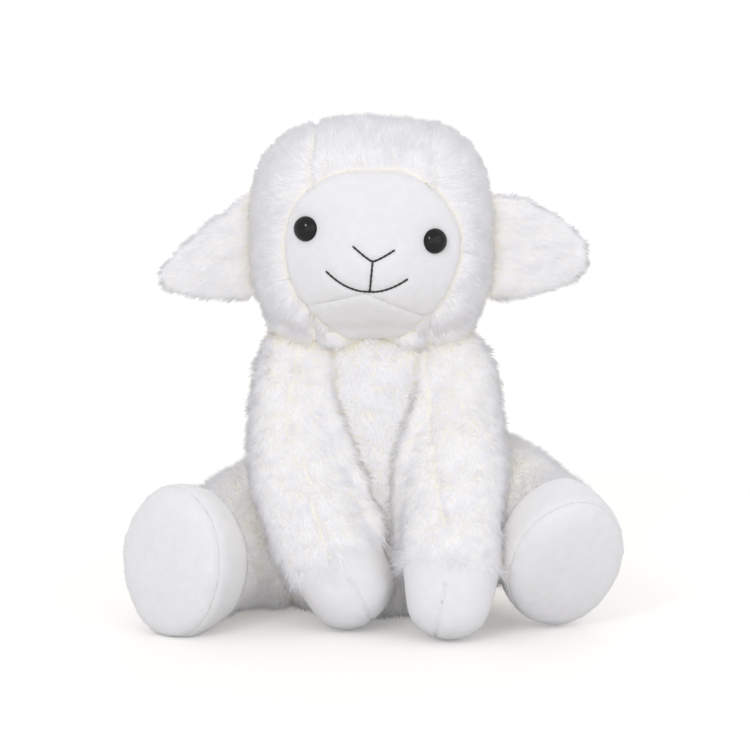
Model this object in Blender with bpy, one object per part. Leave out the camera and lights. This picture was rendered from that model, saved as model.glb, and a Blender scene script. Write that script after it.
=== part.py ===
"""Sitting plush sheep, sewn from furry and smooth panels over fibre filling.

Metres, +Z up. The toy faces -Y and sits on Z = 0. Left and right are those of
someone who looks at its face, so left is -X. Every size is that of the cloth
itself, and the pile of the fabric stands on top of it.
"""

import math

import bmesh
import bpy
from mathutils import Matrix, Vector

# Clearances
GAP = 0.0003
SOCKET_GAP = 0.0006
FLOOR_CUT = 0.0005
FILLING_GAP = 0.0013

# Fabrics
FUR_PILE = 0.0045
FUR_BACKING = 0.0010
SMOOTH_PILE = 0.0006
SMOOTH_BACKING = 0.0014
SEAT_PANEL_THICKNESS = 0.0025

# Head
HEAD_CENTRE = Vector((-0.0016, -0.0040, 0.1875))
HEAD_HALF_WIDTH = 0.0550
HEAD_HALF_DEPTH = 0.0460
HEAD_HALF_HEIGHT = 0.0505
HEAD_SQUARENESS = 3.1
JAW_SQUARENESS = 3.9
HEAD_ROUNDNESS = 2.25
NECK_HEIGHT = 0.1360
NECK_HOLE_RADIUS = 0.0170
MUZZLE_RISE = 0.0085
MUZZLE_SPREAD = math.radians(27)
MUZZLE_DIP = math.radians(17)
FACE_TILT = math.radians(-5.3)
FACE_SHIFT = -0.0022

# Edge of the face opening, as an angle at the head's centre away from straight ahead
OPENING_TOP = math.radians(42)
OPENING_SIDE = math.radians(53)
OPENING_CHIN = math.radians(76)
CHIN_NARROWING = 8
CHIN_SEAM_HEIGHT = 0.1625
CHIN_SEAM_SLOPE = math.tan(math.radians(21))

# Strip of fur over the crown
GUSSET_HALF_WIDTH_FRONT = 0.0310
GUSSET_HALF_WIDTH_BACK = 0.0200

# Safety eyes
EYE_RADIUS = 0.0060
EYE_DOME = 0.0052
EYE_RIM_HEIGHT = 0.0008
EYE_RIM_INSET = 0.0004
EYE_SPACING = 0.0602
EYE_HEIGHT = 0.1897
SHANK_RADIUS = 0.0019
SHANK_LENGTH = 0.0120
SHANK_STANDOFF = 0.0010
WASHER_RADIUS = 0.0065
WASHER_THICKNESS = 0.0016

# Embroidery
THREAD_RADIUS = 0.00045
THREAD_CLEARANCE = 0.0018
NOSE_HALF_WIDTH = 0.0098
NOSE_RISE = 0.0062
NOSE_BOW = 1.15
NOSE_SHIFT = 0.0021
LIP_LENGTH = 0.0148
MOUTH_HALF_WIDTH = 0.0192
MOUTH_RISE = 0.0077
MOUTH_HEIGHT = 0.1640
NOSE_HEIGHT = MOUTH_HEIGHT + LIP_LENGTH

# Ears
EAR_LENGTH = 0.0455
EAR_SEAM_TOP = Vector((0.0622, 0.0, 0.2055))
EAR_SEAM_BOTTOM = Vector((0.0566, 0.0, 0.1520))
EAR_SEAM_DEPTH = 0.0080
EAR_ROOT_RADIUS = 0.0030
EAR_SWELL_RADIUS = 0.0052
EAR_SWELL_PLACES = (0.25, 0.60)
EAR_TIP_RADIUS = 0.0032
EAR_FULLNESS = 0.5
EAR_DROOP_LEFT = 2.1
EAR_DROOP_RIGHT = 1.1
EAR_END_SHARE = 0.03
EAR_END_THINNING = 0.45
EAR_SHORTEST_EDGE = 0.0040

# Torso, bottom to top: height, half width, half depth and how far back its middle lies
TORSO = (
    (0.0000, 0.0380, 0.0380, 0.0140),
    (0.0100, 0.0490, 0.0470, 0.0140),
    (0.0350, 0.0540, 0.0510, 0.0140),
    (0.0650, 0.0505, 0.0460, 0.0110),
    (0.0950, 0.0435, 0.0370, 0.0060),
    (0.1200, 0.0355, 0.0290, 0.0020),
    (NECK_HEIGHT, 0.0215, 0.0215, 0.0000),
)
CHEST_HALF_WIDTH_TOP = 0.0270
CHEST_HALF_WIDTH_BOTTOM = 0.0200
CHEST_BOTTOM = 0.0300
PELLET_BAG_HALF_WIDTH = 0.0150
PELLET_BAG_HALF_DEPTH = 0.0240
PELLET_BAG_HEIGHT = 0.0300

# Forelegs
SHOULDER = Vector((0.0400, -0.0080, 0.1200))
SHOULDER_RADIUS = 0.0165
FORELEG_WIDTHS = (SHOULDER_RADIUS, 0.0205, 0.0235, 0.0240, 0.0235, 0.0215)
FORELEG_DEPTHS = (SHOULDER_RADIUS, 0.0180, 0.0190, 0.0185, 0.0180, 0.0165)
HOOF_DOME = 0.0180
HOOF_X_LEFT = -0.0110
HOOF_X_RIGHT = 0.0345
HOOF_Y_LEFT = -0.0480
HOOF_Y_RIGHT = -0.0660
ELBOW_X_LEFT = -0.0400
ELBOW_X_RIGHT = 0.0385
ELBOW_Y_LEFT = -0.0440
ELBOW_Y_RIGHT = -0.0500
ELBOW_HEIGHT = 0.0620
CUFF_AT = 0.82
FORELEG_DIVIDE_X = 0.0100

# Hind legs
HIP_X = 0.0510
HIP_Y = 0.0160
HIP_RADIUS = 0.0265
HIP_HALF_HEIGHT = 0.0335
HIP_LIFT_LEFT = 0.0
HIP_LIFT_RIGHT = 0.0130
HIND_HEIGHTS = (HIP_HALF_HEIGHT, 0.0335, 0.0310, 0.0290, 0.0335, 0.0355)
HIND_WIDTHS = (HIP_RADIUS, 0.0275, 0.0260, 0.0240, 0.0265, 0.0272)
ANKLE_AT = 0.70
SOLE_X_LEFT = -0.0960
SOLE_X_RIGHT = 0.0905
SOLE_Y_LEFT = -0.0560
SOLE_Y_RIGHT = -0.0540
SOLE_LIFT_LEFT = 0.0
SOLE_LIFT_RIGHT = 0.0015
SOLE_TURN_LEFT = math.radians(34)
SOLE_TURN_RIGHT = math.radians(18)
SOLE_TIP_LEFT = math.radians(5)
SOLE_TIP_RIGHT = math.radians(-24)
SOLE_REACH = 0.0400
SOLE_DOME = 0.0060

# Tail
TAIL_ROOT = Vector((0.0, 0.0630, 0.0420))
TAIL_ROOT_RADIUS = 0.0110
TAIL_MIDDLE = Vector((0.0, 0.0860, 0.0430))
TAIL_TIP = Vector((0.0, 0.0880, 0.0220))
TAIL_WIDTHS = (TAIL_ROOT_RADIUS, 0.0135, 0.0155, 0.0135)
TAIL_DEPTHS = (TAIL_ROOT_RADIUS, 0.0110, 0.0110, 0.0095)
TAIL_DOME = 0.0090

# Facets
HEAD_SIDES = 28
HEAD_RINGS = 11
FACE_RINGS = 7
EAR_RINGS = 9
EAR_TURNS = 6
TORSO_SIDES = 24
TORSO_STEPS = 2
LIMB_SIDES = 18
LIMB_RINGS = 7
FOOT_RINGS = 3
DOME_RINGS = 3
EYE_RINGS = 5
STITCH_STEPS = 6
ROD_SIDES = 18
SOCKET_SIDES = 18
SOCKET_RINGS = 8
INNER_SHARE = 0.7
POLE_ANGLE = math.radians(5)
FACE_SEARCH_STEPS = 12
SLOPE_PROBE = 0.01
SHARP_ANGLE = math.radians(40)

# How far each sewn seam gives, and the steps in which a neighbour is cleared for it
EAR_FOLD = (math.radians(-30), math.radians(45))
FORELEG_LIFT = (0.0, math.radians(30))
HIND_LEG_SPLAY = (0.0, math.radians(25))
TAIL_WAG = (math.radians(-25), math.radians(25))
GIVE_STEP = math.radians(8.5)

# Room that a cutter reaches past what it cuts
REACH = 0.2000

LEFT = -1
RIGHT = 1
SIDE_NAMES = {LEFT: "left", RIGHT: "right"}

# Finishes: colour and roughness
FINISHES = {
    "fur": ((0.86, 0.85, 0.82), 0.95),
    "smooth_cloth": ((0.88, 0.87, 0.84), 0.90),
    "fibre": ((0.93, 0.93, 0.94), 0.95),
    "eye_black": ((0.010, 0.010, 0.012), 0.08),
    "washer": ((0.75, 0.75, 0.73), 0.45),
    "thread": ((0.020, 0.020, 0.022), 0.70),
    "lining": ((0.80, 0.78, 0.72), 0.90),
}


def clear_scene():
    """Removes whatever the open file holds."""
    for old in list(bpy.data.objects):
        bpy.data.objects.remove(old, do_unlink=True)


def finish(name):
    """The material of that name, made on first use."""
    made = bpy.data.materials.get(name)
    if made:
        return made
    colour, roughness = FINISHES[name]
    made = bpy.data.materials.new(name)
    made.use_nodes = True
    shader = made.node_tree.nodes["Principled BSDF"]
    shader.inputs["Base Color"].default_value = (*colour, 1.0)
    shader.inputs["Roughness"].default_value = roughness
    shader.inputs["Metallic"].default_value = 0.0
    return made


def placed(name, data):
    """Puts a mesh or a curve in the scene."""
    piece = bpy.data.objects.new(name, data)
    bpy.context.scene.collection.objects.link(piece)
    return piece


def seat_at(piece, origin):
    """Moves an object's origin to its joint and leaves its shape where it is."""
    for vertex in piece.data.vertices:
        vertex.co -= origin
    piece.location = origin


def lofted(name, rings, closed=False):
    """One solid through rings of points. A ring of one point is a pole, and a closed
    loft runs back from its last ring to its first, as a tube with two open ends does."""
    shape = bmesh.new()
    rows = [[shape.verts.new(point) for point in ring] for ring in rings]
    pairs = list(zip(rows, rows[1:]))
    if closed:
        pairs.append((rows[-1], rows[0]))
    for low, high in pairs:
        count = max(len(low), len(high))
        for i in range(count):
            j = (i + 1) % count
            corners = [low[i % len(low)], low[j % len(low)], high[j % len(high)], high[i % len(high)]]
            shape.faces.new(list(dict.fromkeys(corners)))
    bmesh.ops.recalc_face_normals(shape, faces=shape.faces)
    mesh = bpy.data.meshes.new(name)
    shape.to_mesh(mesh)
    shape.free()
    return placed(name, mesh)


def capped(rings):
    """Rings with a middle point at each end."""
    ends = [[sum(ring, Vector()) / len(ring)] for ring in (rings[0], rings[-1])]
    return [ends[0], *rings, ends[1]]


def circle(centre, across, up, radius, sides):
    """Points round a centre in the plane of two directions."""
    turns = [2 * math.pi * k / sides for k in range(sides)]
    return [centre + across * (radius * math.cos(turn)) + up * (radius * math.sin(turn)) for turn in turns]


def largest_body(piece, towards=0.0):
    """Keeps one body of a mesh: the largest, or the largest on one side of X = 0."""
    shape = bmesh.new()
    shape.from_mesh(piece.data)
    seen, bodies = set(), []
    for start in shape.faces:
        if start in seen:
            continue
        body, front = [], [start]
        seen.add(start)
        while front:
            face = front.pop()
            body.append(face)
            for edge in face.edges:
                others = [other for other in edge.link_faces if other not in seen]
                if len(edge.link_faces) == 2 and others:
                    seen.add(others[0])
                    front.append(others[0])
        middle = sum(face.calc_center_median().x for face in body) / len(body)
        if middle * towards >= 0:
            bodies.append(body)
    keep = set(max(bodies, key=len))
    loose = [face for face in shape.faces if face not in keep]
    bmesh.ops.delete(shape, geom=loose, context="FACES")
    shape.to_mesh(piece.data)
    shape.free()


def cut_once(piece, tools, operation):
    """Cuts a piece by a group of tools that may lie across each other."""
    group = bpy.data.collections.new("tools")
    for tool in tools:
        group.objects.link(tool)
    step = piece.modifiers.new("cut", "BOOLEAN")
    step.operation = operation
    step.solver = "EXACT"
    step.operand_type = "COLLECTION"
    step.collection = group
    graph = bpy.context.evaluated_depsgraph_get()
    result = bpy.data.meshes.new_from_object(piece.evaluated_get(graph))
    piece.modifiers.clear()
    piece.data = result
    bpy.data.collections.remove(group)


def combine(piece, tools, operation="DIFFERENCE", towards=0.0):
    """Cuts a piece by each tool, or keeps what they share, and leaves one body."""
    for tool in tools:
        cut_once(piece, [tool], operation)
    largest_body(piece, towards)
    return piece


def turned(pivot, axis, angle):
    """The place of something turned on an axis through a pivot."""
    return Matrix.Translation(pivot) @ Matrix.Rotation(angle, 4, axis) @ Matrix.Translation(-pivot)


def give(pivot, axis, limits):
    """The places that a fixed neighbour takes for a piece whose seam gives that far."""
    angles = [0.0]
    for limit in limits:
        count = math.ceil(abs(limit) / GIVE_STEP)
        angles += [limit * (i + 1) / count for i in range(count)]
    return [turned(pivot, axis, -angle) for angle in angles]


def discard(tools):
    """Takes cutters out of the scene once they have been used."""
    for tool in tools:
        bpy.data.objects.remove(tool, do_unlink=True)


def clear_of(piece, tool, places):
    """Cuts a piece by a tool in all of the tool's places."""
    copies = []
    for place in places:
        copy = tool.copy()
        bpy.context.scene.collection.objects.link(copy)
        copy.matrix_world = place
        copies.append(copy)
    cut_once(piece, copies, "DIFFERENCE")
    discard(copies)
    largest_body(piece)


def dressed(piece, name):
    """Gives a piece its material and smooth shading."""
    piece.data.materials.clear()
    piece.data.materials.append(finish(name))
    piece.data.shade_smooth()
    piece.data.set_sharp_from_angle(angle=SHARP_ANGLE)
    return piece


def mixed(low, high, share):
    """The value that lies that share of the way from low to high."""
    return low + (high - low) * share


def smooth_row(rows, place):
    """Reads a row of numbers between the given rows, on a smooth curve through them."""
    last = len(rows) - 1
    index = min(int(place), last - 1)
    share = place - index
    before, low = rows[max(index - 1, 0)], rows[index]
    high, after = rows[index + 1], rows[min(index + 2, last)]
    return [
        0.5 * (2 * b + (c - a) * share + (2 * a - 5 * b + 4 * c - d) * share**2
               + (3 * b - a - 3 * c + d) * share**3)
        for a, b, c, d in zip(before, low, high, after)
    ]


def prism(name, outline, low, high):
    """A straight solid over an outline in X and Z, from one Y to another."""
    rings = [[Vector((x, y, z)) for x, z in outline] for y in (low, high)]
    return lofted(name, capped(rings))


def box(name, low, high):
    """A plain box between two corners."""
    outline = [(low[0], low[2]), (high[0], low[2]), (high[0], high[2]), (low[0], high[2])]
    return prism(name, outline, low[1], high[1])


def oval(name, centre, size, sides=SOCKET_SIDES, rings=SOCKET_RINGS):
    """An ellipsoid with its poles on X, whose flat facets lie outside the true curve."""
    size = [length / (math.cos(math.pi / sides) * math.cos(math.pi / rings / 2)) for length in size]
    points = []
    for i in range(1, rings):
        polar = math.pi * i / rings
        ring = []
        for k in range(sides):
            around = 2 * math.pi * k / sides
            across = math.sin(polar)
            ring.append(centre + Vector((
                size[0] * math.cos(polar),
                size[1] * across * math.cos(around),
                size[2] * across * math.sin(around),
            )))
        points.append(ring)
    tip = Vector((size[0], 0.0, 0.0))
    return lofted(name, [[centre + tip], *points, [centre - tip]])


# Head

def head_direction(polar, around):
    """Unit vector at an angle from straight ahead, turned round that line from +X."""
    across = math.sin(polar)
    return Vector((across * math.cos(around), -math.cos(polar), across * math.sin(around)))


def head_point(direction, grow):
    """Point of the head's cloth that way from its centre, moved out by grow."""
    wide = abs(direction.x) / (HEAD_HALF_WIDTH + grow)
    tall = abs(direction.z) / (HEAD_HALF_HEIGHT + grow)
    deep = abs(direction.y) / (HEAD_HALF_DEPTH + grow)
    squareness = JAW_SQUARENESS if direction.z < 0 else HEAD_SQUARENESS
    across = (wide**squareness + tall**squareness) ** (1 / squareness)
    radius = (across**HEAD_ROUNDNESS + deep**HEAD_ROUNDNESS) ** (-1 / HEAD_ROUNDNESS)
    nose = Vector((0.0, -math.cos(MUZZLE_DIP), -math.sin(MUZZLE_DIP)))
    away = direction.angle(nose) / MUZZLE_SPREAD
    return HEAD_CENTRE + direction * (radius + MUZZLE_RISE * math.exp(-away * away))


def face_point(x, z, grow):
    """Point of the face's cloth at that X and Z, moved out by grow, with its normal."""
    depth = HEAD_HALF_DEPTH
    for _ in range(FACE_SEARCH_STEPS):
        aim = Vector((x - HEAD_CENTRE.x, -depth, z - HEAD_CENTRE.z))
        found = head_point(aim.normalized(), grow)
        depth *= aim.length and (found - HEAD_CENTRE).length / aim.length
    aim = Vector((x - HEAD_CENTRE.x, -depth, z - HEAD_CENTRE.z)).normalized()
    middle = head_point(aim, grow)
    side = head_point((aim + Vector((SLOPE_PROBE, 0.0, 0.0))).normalized(), grow)
    top = head_point((aim + Vector((0.0, 0.0, SLOPE_PROBE))).normalized(), grow)
    return middle, (side - middle).cross(top - middle).normalized()


def on_face(across, height):
    """X and Z of a place on the face, which sits slightly askew on the head."""
    rise = height - EYE_HEIGHT
    x = across * math.cos(FACE_TILT) - rise * math.sin(FACE_TILT)
    z = across * math.sin(FACE_TILT) + rise * math.cos(FACE_TILT)
    return FACE_SHIFT + x, EYE_HEIGHT + z


def opening_edge(around):
    """Angle from straight ahead at which the fur round the face begins."""
    lift = math.sin(around)
    if lift > 0:
        return mixed(OPENING_SIDE, OPENING_TOP, lift)
    return mixed(OPENING_SIDE, OPENING_CHIN, lift**CHIN_NARROWING)


def head_rings(grow, start, end, count, sides=HEAD_SIDES):
    """Rings of the head's surface from one edge to another."""
    rings = []
    for i in range(count + 1):
        share = i / count
        ring = []
        for k in range(sides):
            around = 2 * math.pi * k / sides
            polar = mixed(start(around), end(around), share)
            ring.append(head_point(head_direction(polar, around), grow))
        rings.append(ring)
    return rings


def straight_ahead(around):
    """Edge of next to no width round the line straight ahead."""
    return POLE_ANGLE


def straight_back(around):
    """Edge of next to no width round the line straight back."""
    return math.pi - POLE_ANGLE


def moved_edge(distance):
    """The edge of the face opening, moved along the head's surface by a distance."""
    turn = distance / HEAD_HALF_WIDTH
    return lambda around: opening_edge(around) + turn


def head_pole(polar, grow):
    """A pole of the head's rings."""
    return [head_point(head_direction(polar, 0.0), grow)]


def floor_box():
    """Everything under the floor."""
    return box("cutter", (-REACH, -REACH, -REACH), (REACH, REACH, 0.0))


def roof(gap):
    """The half of space under the chin seam, whose edge is an upturned V."""
    height = CHIN_SEAM_HEIGHT + gap
    ridge, left, right = on_face(0.0, height), on_face(-REACH, height), on_face(REACH, height)
    drop = REACH * CHIN_SEAM_SLOPE
    outline = [ridge, (left[0], left[1] - drop), (left[0], -REACH)]
    outline += [(right[0], -REACH), (right[0], right[1] - drop)]
    return prism("cutter", outline, -REACH, REACH)


def gusset_prism(grow):
    """The strip over the crown: narrower at the back, from the neck to above the head."""
    front, back = GUSSET_HALF_WIDTH_FRONT + grow, GUSSET_HALF_WIDTH_BACK + grow
    far = HEAD_HALF_DEPTH + FUR_PILE + GUSSET_HALF_WIDTH_BACK
    low, high = HEAD_CENTRE.z - REACH, HEAD_CENTRE.z + REACH
    rings = []
    for y, half in ((HEAD_CENTRE.y - far, front), (HEAD_CENTRE.y + far, back)):
        corners = ((-half, low), (half, low), (half, high), (-half, high))
        rings.append([Vector((HEAD_CENTRE.x + x, y, z)) for x, z in corners])
    return lofted("cutter", capped(rings))


def ear_seam(side):
    """Top and bottom of the line on which an ear folds, which touches the side of the head."""
    middle, flip = Vector((HEAD_CENTRE.x, 0.0, 0.0)), Vector((side, 1.0, 1.0))
    return middle + EAR_SEAM_TOP * flip, middle + EAR_SEAM_BOTTOM * flip


def ear_droop(side):
    """How far down the ear's longest point lies."""
    return EAR_DROOP_LEFT if side == LEFT else EAR_DROOP_RIGHT


def ear_rings(side):
    """Rings of an ear from its top to its bottom. Each is thin at the seam, swells and
    grows thin again towards its edge, and starts inside the head."""
    top, bottom = ear_seam(side)
    down = (bottom - top).normalized()
    out = Vector((side, 0.0, 0.0))
    out = (out - down * out.dot(down)).normalized()
    back = Vector((0.0, 1.0, 0.0))
    turns = [math.pi * k / EAR_TURNS for k in range(EAR_TURNS + 1)]
    rings = []
    for i in range(EAR_RINGS + 1):
        share = mixed(EAR_END_SHARE, 1.0 - EAR_END_SHARE, i / EAR_RINGS)
        centre = mixed(top, bottom, share)
        inner = centre - out * EAR_SEAM_DEPTH
        peak = math.sin(math.pi * share ** ear_droop(side))
        edge = max(EAR_LENGTH * peak**EAR_FULLNESS - EAR_TIP_RADIUS, EAR_SHORTEST_EDGE)
        fullness = mixed(EAR_END_THINNING, 1.0, math.sqrt(1 - abs(2 * share - 1) ** 4))
        root, tip = EAR_ROOT_RADIUS * fullness, EAR_TIP_RADIUS * fullness
        swell = [centre + out * (edge * place) for place in EAR_SWELL_PLACES]
        behind = [point + back * (EAR_SWELL_RADIUS * fullness) for point in reversed(swell)]
        before = [point - back * (EAR_SWELL_RADIUS * fullness) for point in swell]
        thin = [centre + out * (edge + tip * math.sin(t)) - back * (tip * math.cos(t)) for t in turns]
        thick = [inner - out * (root * math.sin(t)) + back * (root * math.cos(t)) for t in turns]
        rings.append(thin + behind + thick + before)
    return capped(rings)


def rod(name, start, end, radius, sides=ROD_SIDES):
    """A round bar between two points."""
    along = (end - start).normalized()
    across = along.orthogonal().normalized()
    up = along.cross(across)
    return lofted(name, capped([circle(place, across, up, radius, sides) for place in (start, end)]))


def eye(side):
    """A safety eye: a dome that rests on the face and a shank through it."""
    x, z = on_face(side * EYE_SPACING / 2, EYE_HEIGHT)
    seat, out = face_point(x, z, SMOOTH_PILE + GAP)
    seat += out * SHANK_STANDOFF
    across = out.orthogonal().normalized()
    up = out.cross(across)
    profile = [(-SHANK_LENGTH, SHANK_RADIUS), (0.0, SHANK_RADIUS), (0.0, EYE_RADIUS - EYE_RIM_INSET)]
    for i in range(EYE_RINGS):
        angle = math.pi / 2 * i / EYE_RINGS
        profile.append((mixed(EYE_RIM_HEIGHT, EYE_DOME, math.sin(angle)), EYE_RADIUS * math.cos(angle)))
    rings = [circle(seat + out * height, across, up, size, SOCKET_SIDES) for height, size in profile]
    rings = [[seat - out * SHANK_LENGTH], *rings, [seat + out * EYE_DOME]]
    return lofted(f"eye_{SIDE_NAMES[side]}", rings), seat, out


def stitch(name, places):
    """A line of thread on the face through places given across and up it."""
    curve = bpy.data.curves.new(name, "CURVE")
    curve.dimensions = "3D"
    curve.bevel_depth = THREAD_RADIUS
    curve.bevel_resolution = 1
    curve.use_fill_caps = True
    line = curve.splines.new("POLY")
    line.points.add(len(places) - 1)
    for point, (across, height) in zip(line.points, places):
        found, out = face_point(*on_face(across, height), SMOOTH_PILE)
        point.co = (*(found + out * (THREAD_RADIUS + GAP)), 1.0)
    curve.materials.append(finish("thread"))
    return placed(name, curve)


def washer_and_pockets(side, seat, out):
    """The lock washer on an eye's shank, and the room that both need in the filling."""
    inside = seat - out * (SHANK_STANDOFF + SMOOTH_PILE + SMOOTH_BACKING + 4 * GAP)
    back = inside - out * WASHER_THICKNESS
    reach = out * SHANK_LENGTH
    washer = rod(f"eye_washer_{SIDE_NAMES[side]}", back, inside, WASHER_RADIUS)
    bore = rod("cutter", inside - reach, inside + reach, SHANK_RADIUS + GAP)
    combine(washer, [bore])
    discard([bore])
    dressed(washer, "washer")
    wide = rod("cutter", back - out * GAP, seat + reach, WASHER_RADIUS + GAP)
    narrow = rod("cutter", seat - reach - out * GAP, seat, SHANK_RADIUS + GAP)
    return [wide, narrow]


def make_embroidery():
    """The nose, the lip line under it and the mouth, in thread."""
    shares = [i / STITCH_STEPS - 1 for i in range(2 * STITCH_STEPS + 1)]
    nose = [
        (NOSE_SHIFT + s * NOSE_HALF_WIDTH, NOSE_HEIGHT + NOSE_RISE * abs(s) ** NOSE_BOW) for s in shares
    ]
    mouth = [(s * MOUTH_HALF_WIDTH, MOUTH_HEIGHT + MOUTH_RISE * s * s) for s in shares]
    top, bottom = NOSE_HEIGHT - THREAD_CLEARANCE, MOUTH_HEIGHT + THREAD_CLEARANCE
    lip = [(NOSE_SHIFT, mixed(top, bottom, i / STITCH_STEPS)) for i in range(STITCH_STEPS + 1)]
    stitch("nose_stitching", nose)
    stitch("mouth_stitching", mouth)
    stitch("lip_stitching", lip)


def make_face():
    """The face and chin, and the eyes with their washers. Gives the eyes' room."""
    rim = moved_edge(-GAP)
    outer = head_rings(SMOOTH_PILE, straight_ahead, rim, FACE_RINGS)
    inner = head_rings(-SMOOTH_BACKING, straight_ahead, rim, int(FACE_RINGS * INNER_SHARE))
    dish = [head_pole(0.0, SMOOTH_PILE), *outer, *reversed(inner), head_pole(0.0, -SMOOTH_BACKING)]
    face, chin = lofted("face_panel", dish), lofted("chin_panel", dish)
    holes, pockets = [], []
    for side in (LEFT, RIGHT):
        piece, seat, out = eye(side)
        dressed(piece, "eye_black")
        holes.append(rod("cutter", seat - out * SHANK_LENGTH, seat, SHANK_RADIUS + GAP))
        pockets += washer_and_pockets(side, seat, out)
    below = roof(GAP)
    combine(face, [below, *holes])
    discard([below, *holes])
    below = roof(0.0)
    combine(chin, [below], "INTERSECT")
    discard([below])
    dressed(face, "smooth_cloth")
    dressed(chin, "smooth_cloth")
    return pockets


def make_head():
    """The furry head panels and their filling, round the face."""
    pockets = make_face()
    rim = moved_edge(0.0)
    fewer = int(HEAD_RINGS * INNER_SHARE)
    outer = head_rings(FUR_PILE, straight_back, rim, HEAD_RINGS)
    inner = head_rings(-FUR_BACKING, straight_back, rim, fewer)
    cup = [head_pole(math.pi, FUR_PILE), *outer, *reversed(inner), head_pole(math.pi, -FUR_BACKING)]
    below_neck = box("cutter", (-REACH, -REACH, -REACH), (REACH, REACH, NECK_HEIGHT + GAP))
    hole_base = Vector((0.0, 0.0, NECK_HEIGHT - NECK_HOLE_RADIUS))
    hole_top = Vector((0.0, 0.0, NECK_HEIGHT + NECK_HOLE_RADIUS))
    neck_hole = rod("cutter", hole_base, hole_top, NECK_HOLE_RADIUS)
    cuts = [below_neck, neck_hole]
    strip = gusset_prism(0.0)
    gusset = combine(lofted("head_gusset", cup), cuts)
    combine(gusset, [strip], "INTERSECT")
    discard([strip])
    strip = gusset_prism(GAP)
    for side in (LEFT, RIGHT):
        panel = combine(lofted(f"head_side_{SIDE_NAMES[side]}", cup), [*cuts, strip], towards=side)
        dressed(panel, "fur")
    discard([strip])
    dressed(gusset, "fur")
    grow = -max(FUR_BACKING, SMOOTH_BACKING) - FILLING_GAP
    rings = head_rings(grow, straight_ahead, straight_back, HEAD_RINGS, int(HEAD_SIDES * INNER_SHARE))
    filling = lofted("head_stuffing", [head_pole(0.0, grow), *rings, head_pole(math.pi, grow)])
    combine(filling, [below_neck, *pockets])
    dressed(filling, "fibre")
    discard([*cuts, *pockets])


def head_room():
    """The space that the head fills, with the gap round it."""
    rim = moved_edge(0.0)
    fur, smooth = FUR_PILE + GAP, SMOOTH_PILE + GAP
    furry = head_rings(fur, straight_back, rim, HEAD_RINGS)
    plain = head_rings(smooth, rim, straight_ahead, FACE_RINGS)
    solid = lofted("cutter", [head_pole(math.pi, fur), *furry, *plain, head_pole(0.0, smooth)])
    below_neck = box("cutter", (-REACH, -REACH, -REACH), (REACH, REACH, NECK_HEIGHT))
    combine(solid, [below_neck])
    discard([below_neck])
    return solid


def make_ear(side):
    """The two sewn panels of an ear, trimmed where they meet the head in each fold."""
    top, bottom = ear_seam(side)
    middle = mixed(top, bottom, 0.5)
    places = give(middle, (top - bottom) * -side, EAR_FOLD)
    head = head_room()
    halves = (("front", middle.y - REACH, middle.y - GAP / 2), ("back", middle.y + GAP / 2, middle.y + REACH))
    for name, low, high in halves:
        half = box("cutter", (-REACH, low, 0.0), (REACH, high, 2 * REACH))
        panel = lofted(f"ear_{name}_{SIDE_NAMES[side]}", ear_rings(side))
        clear_of(panel, head, places)
        combine(panel, [half], "INTERSECT")
        discard([half])
        seat_at(panel, middle)
        dressed(panel, "fur")
    discard([head])


# Limbs

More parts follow.
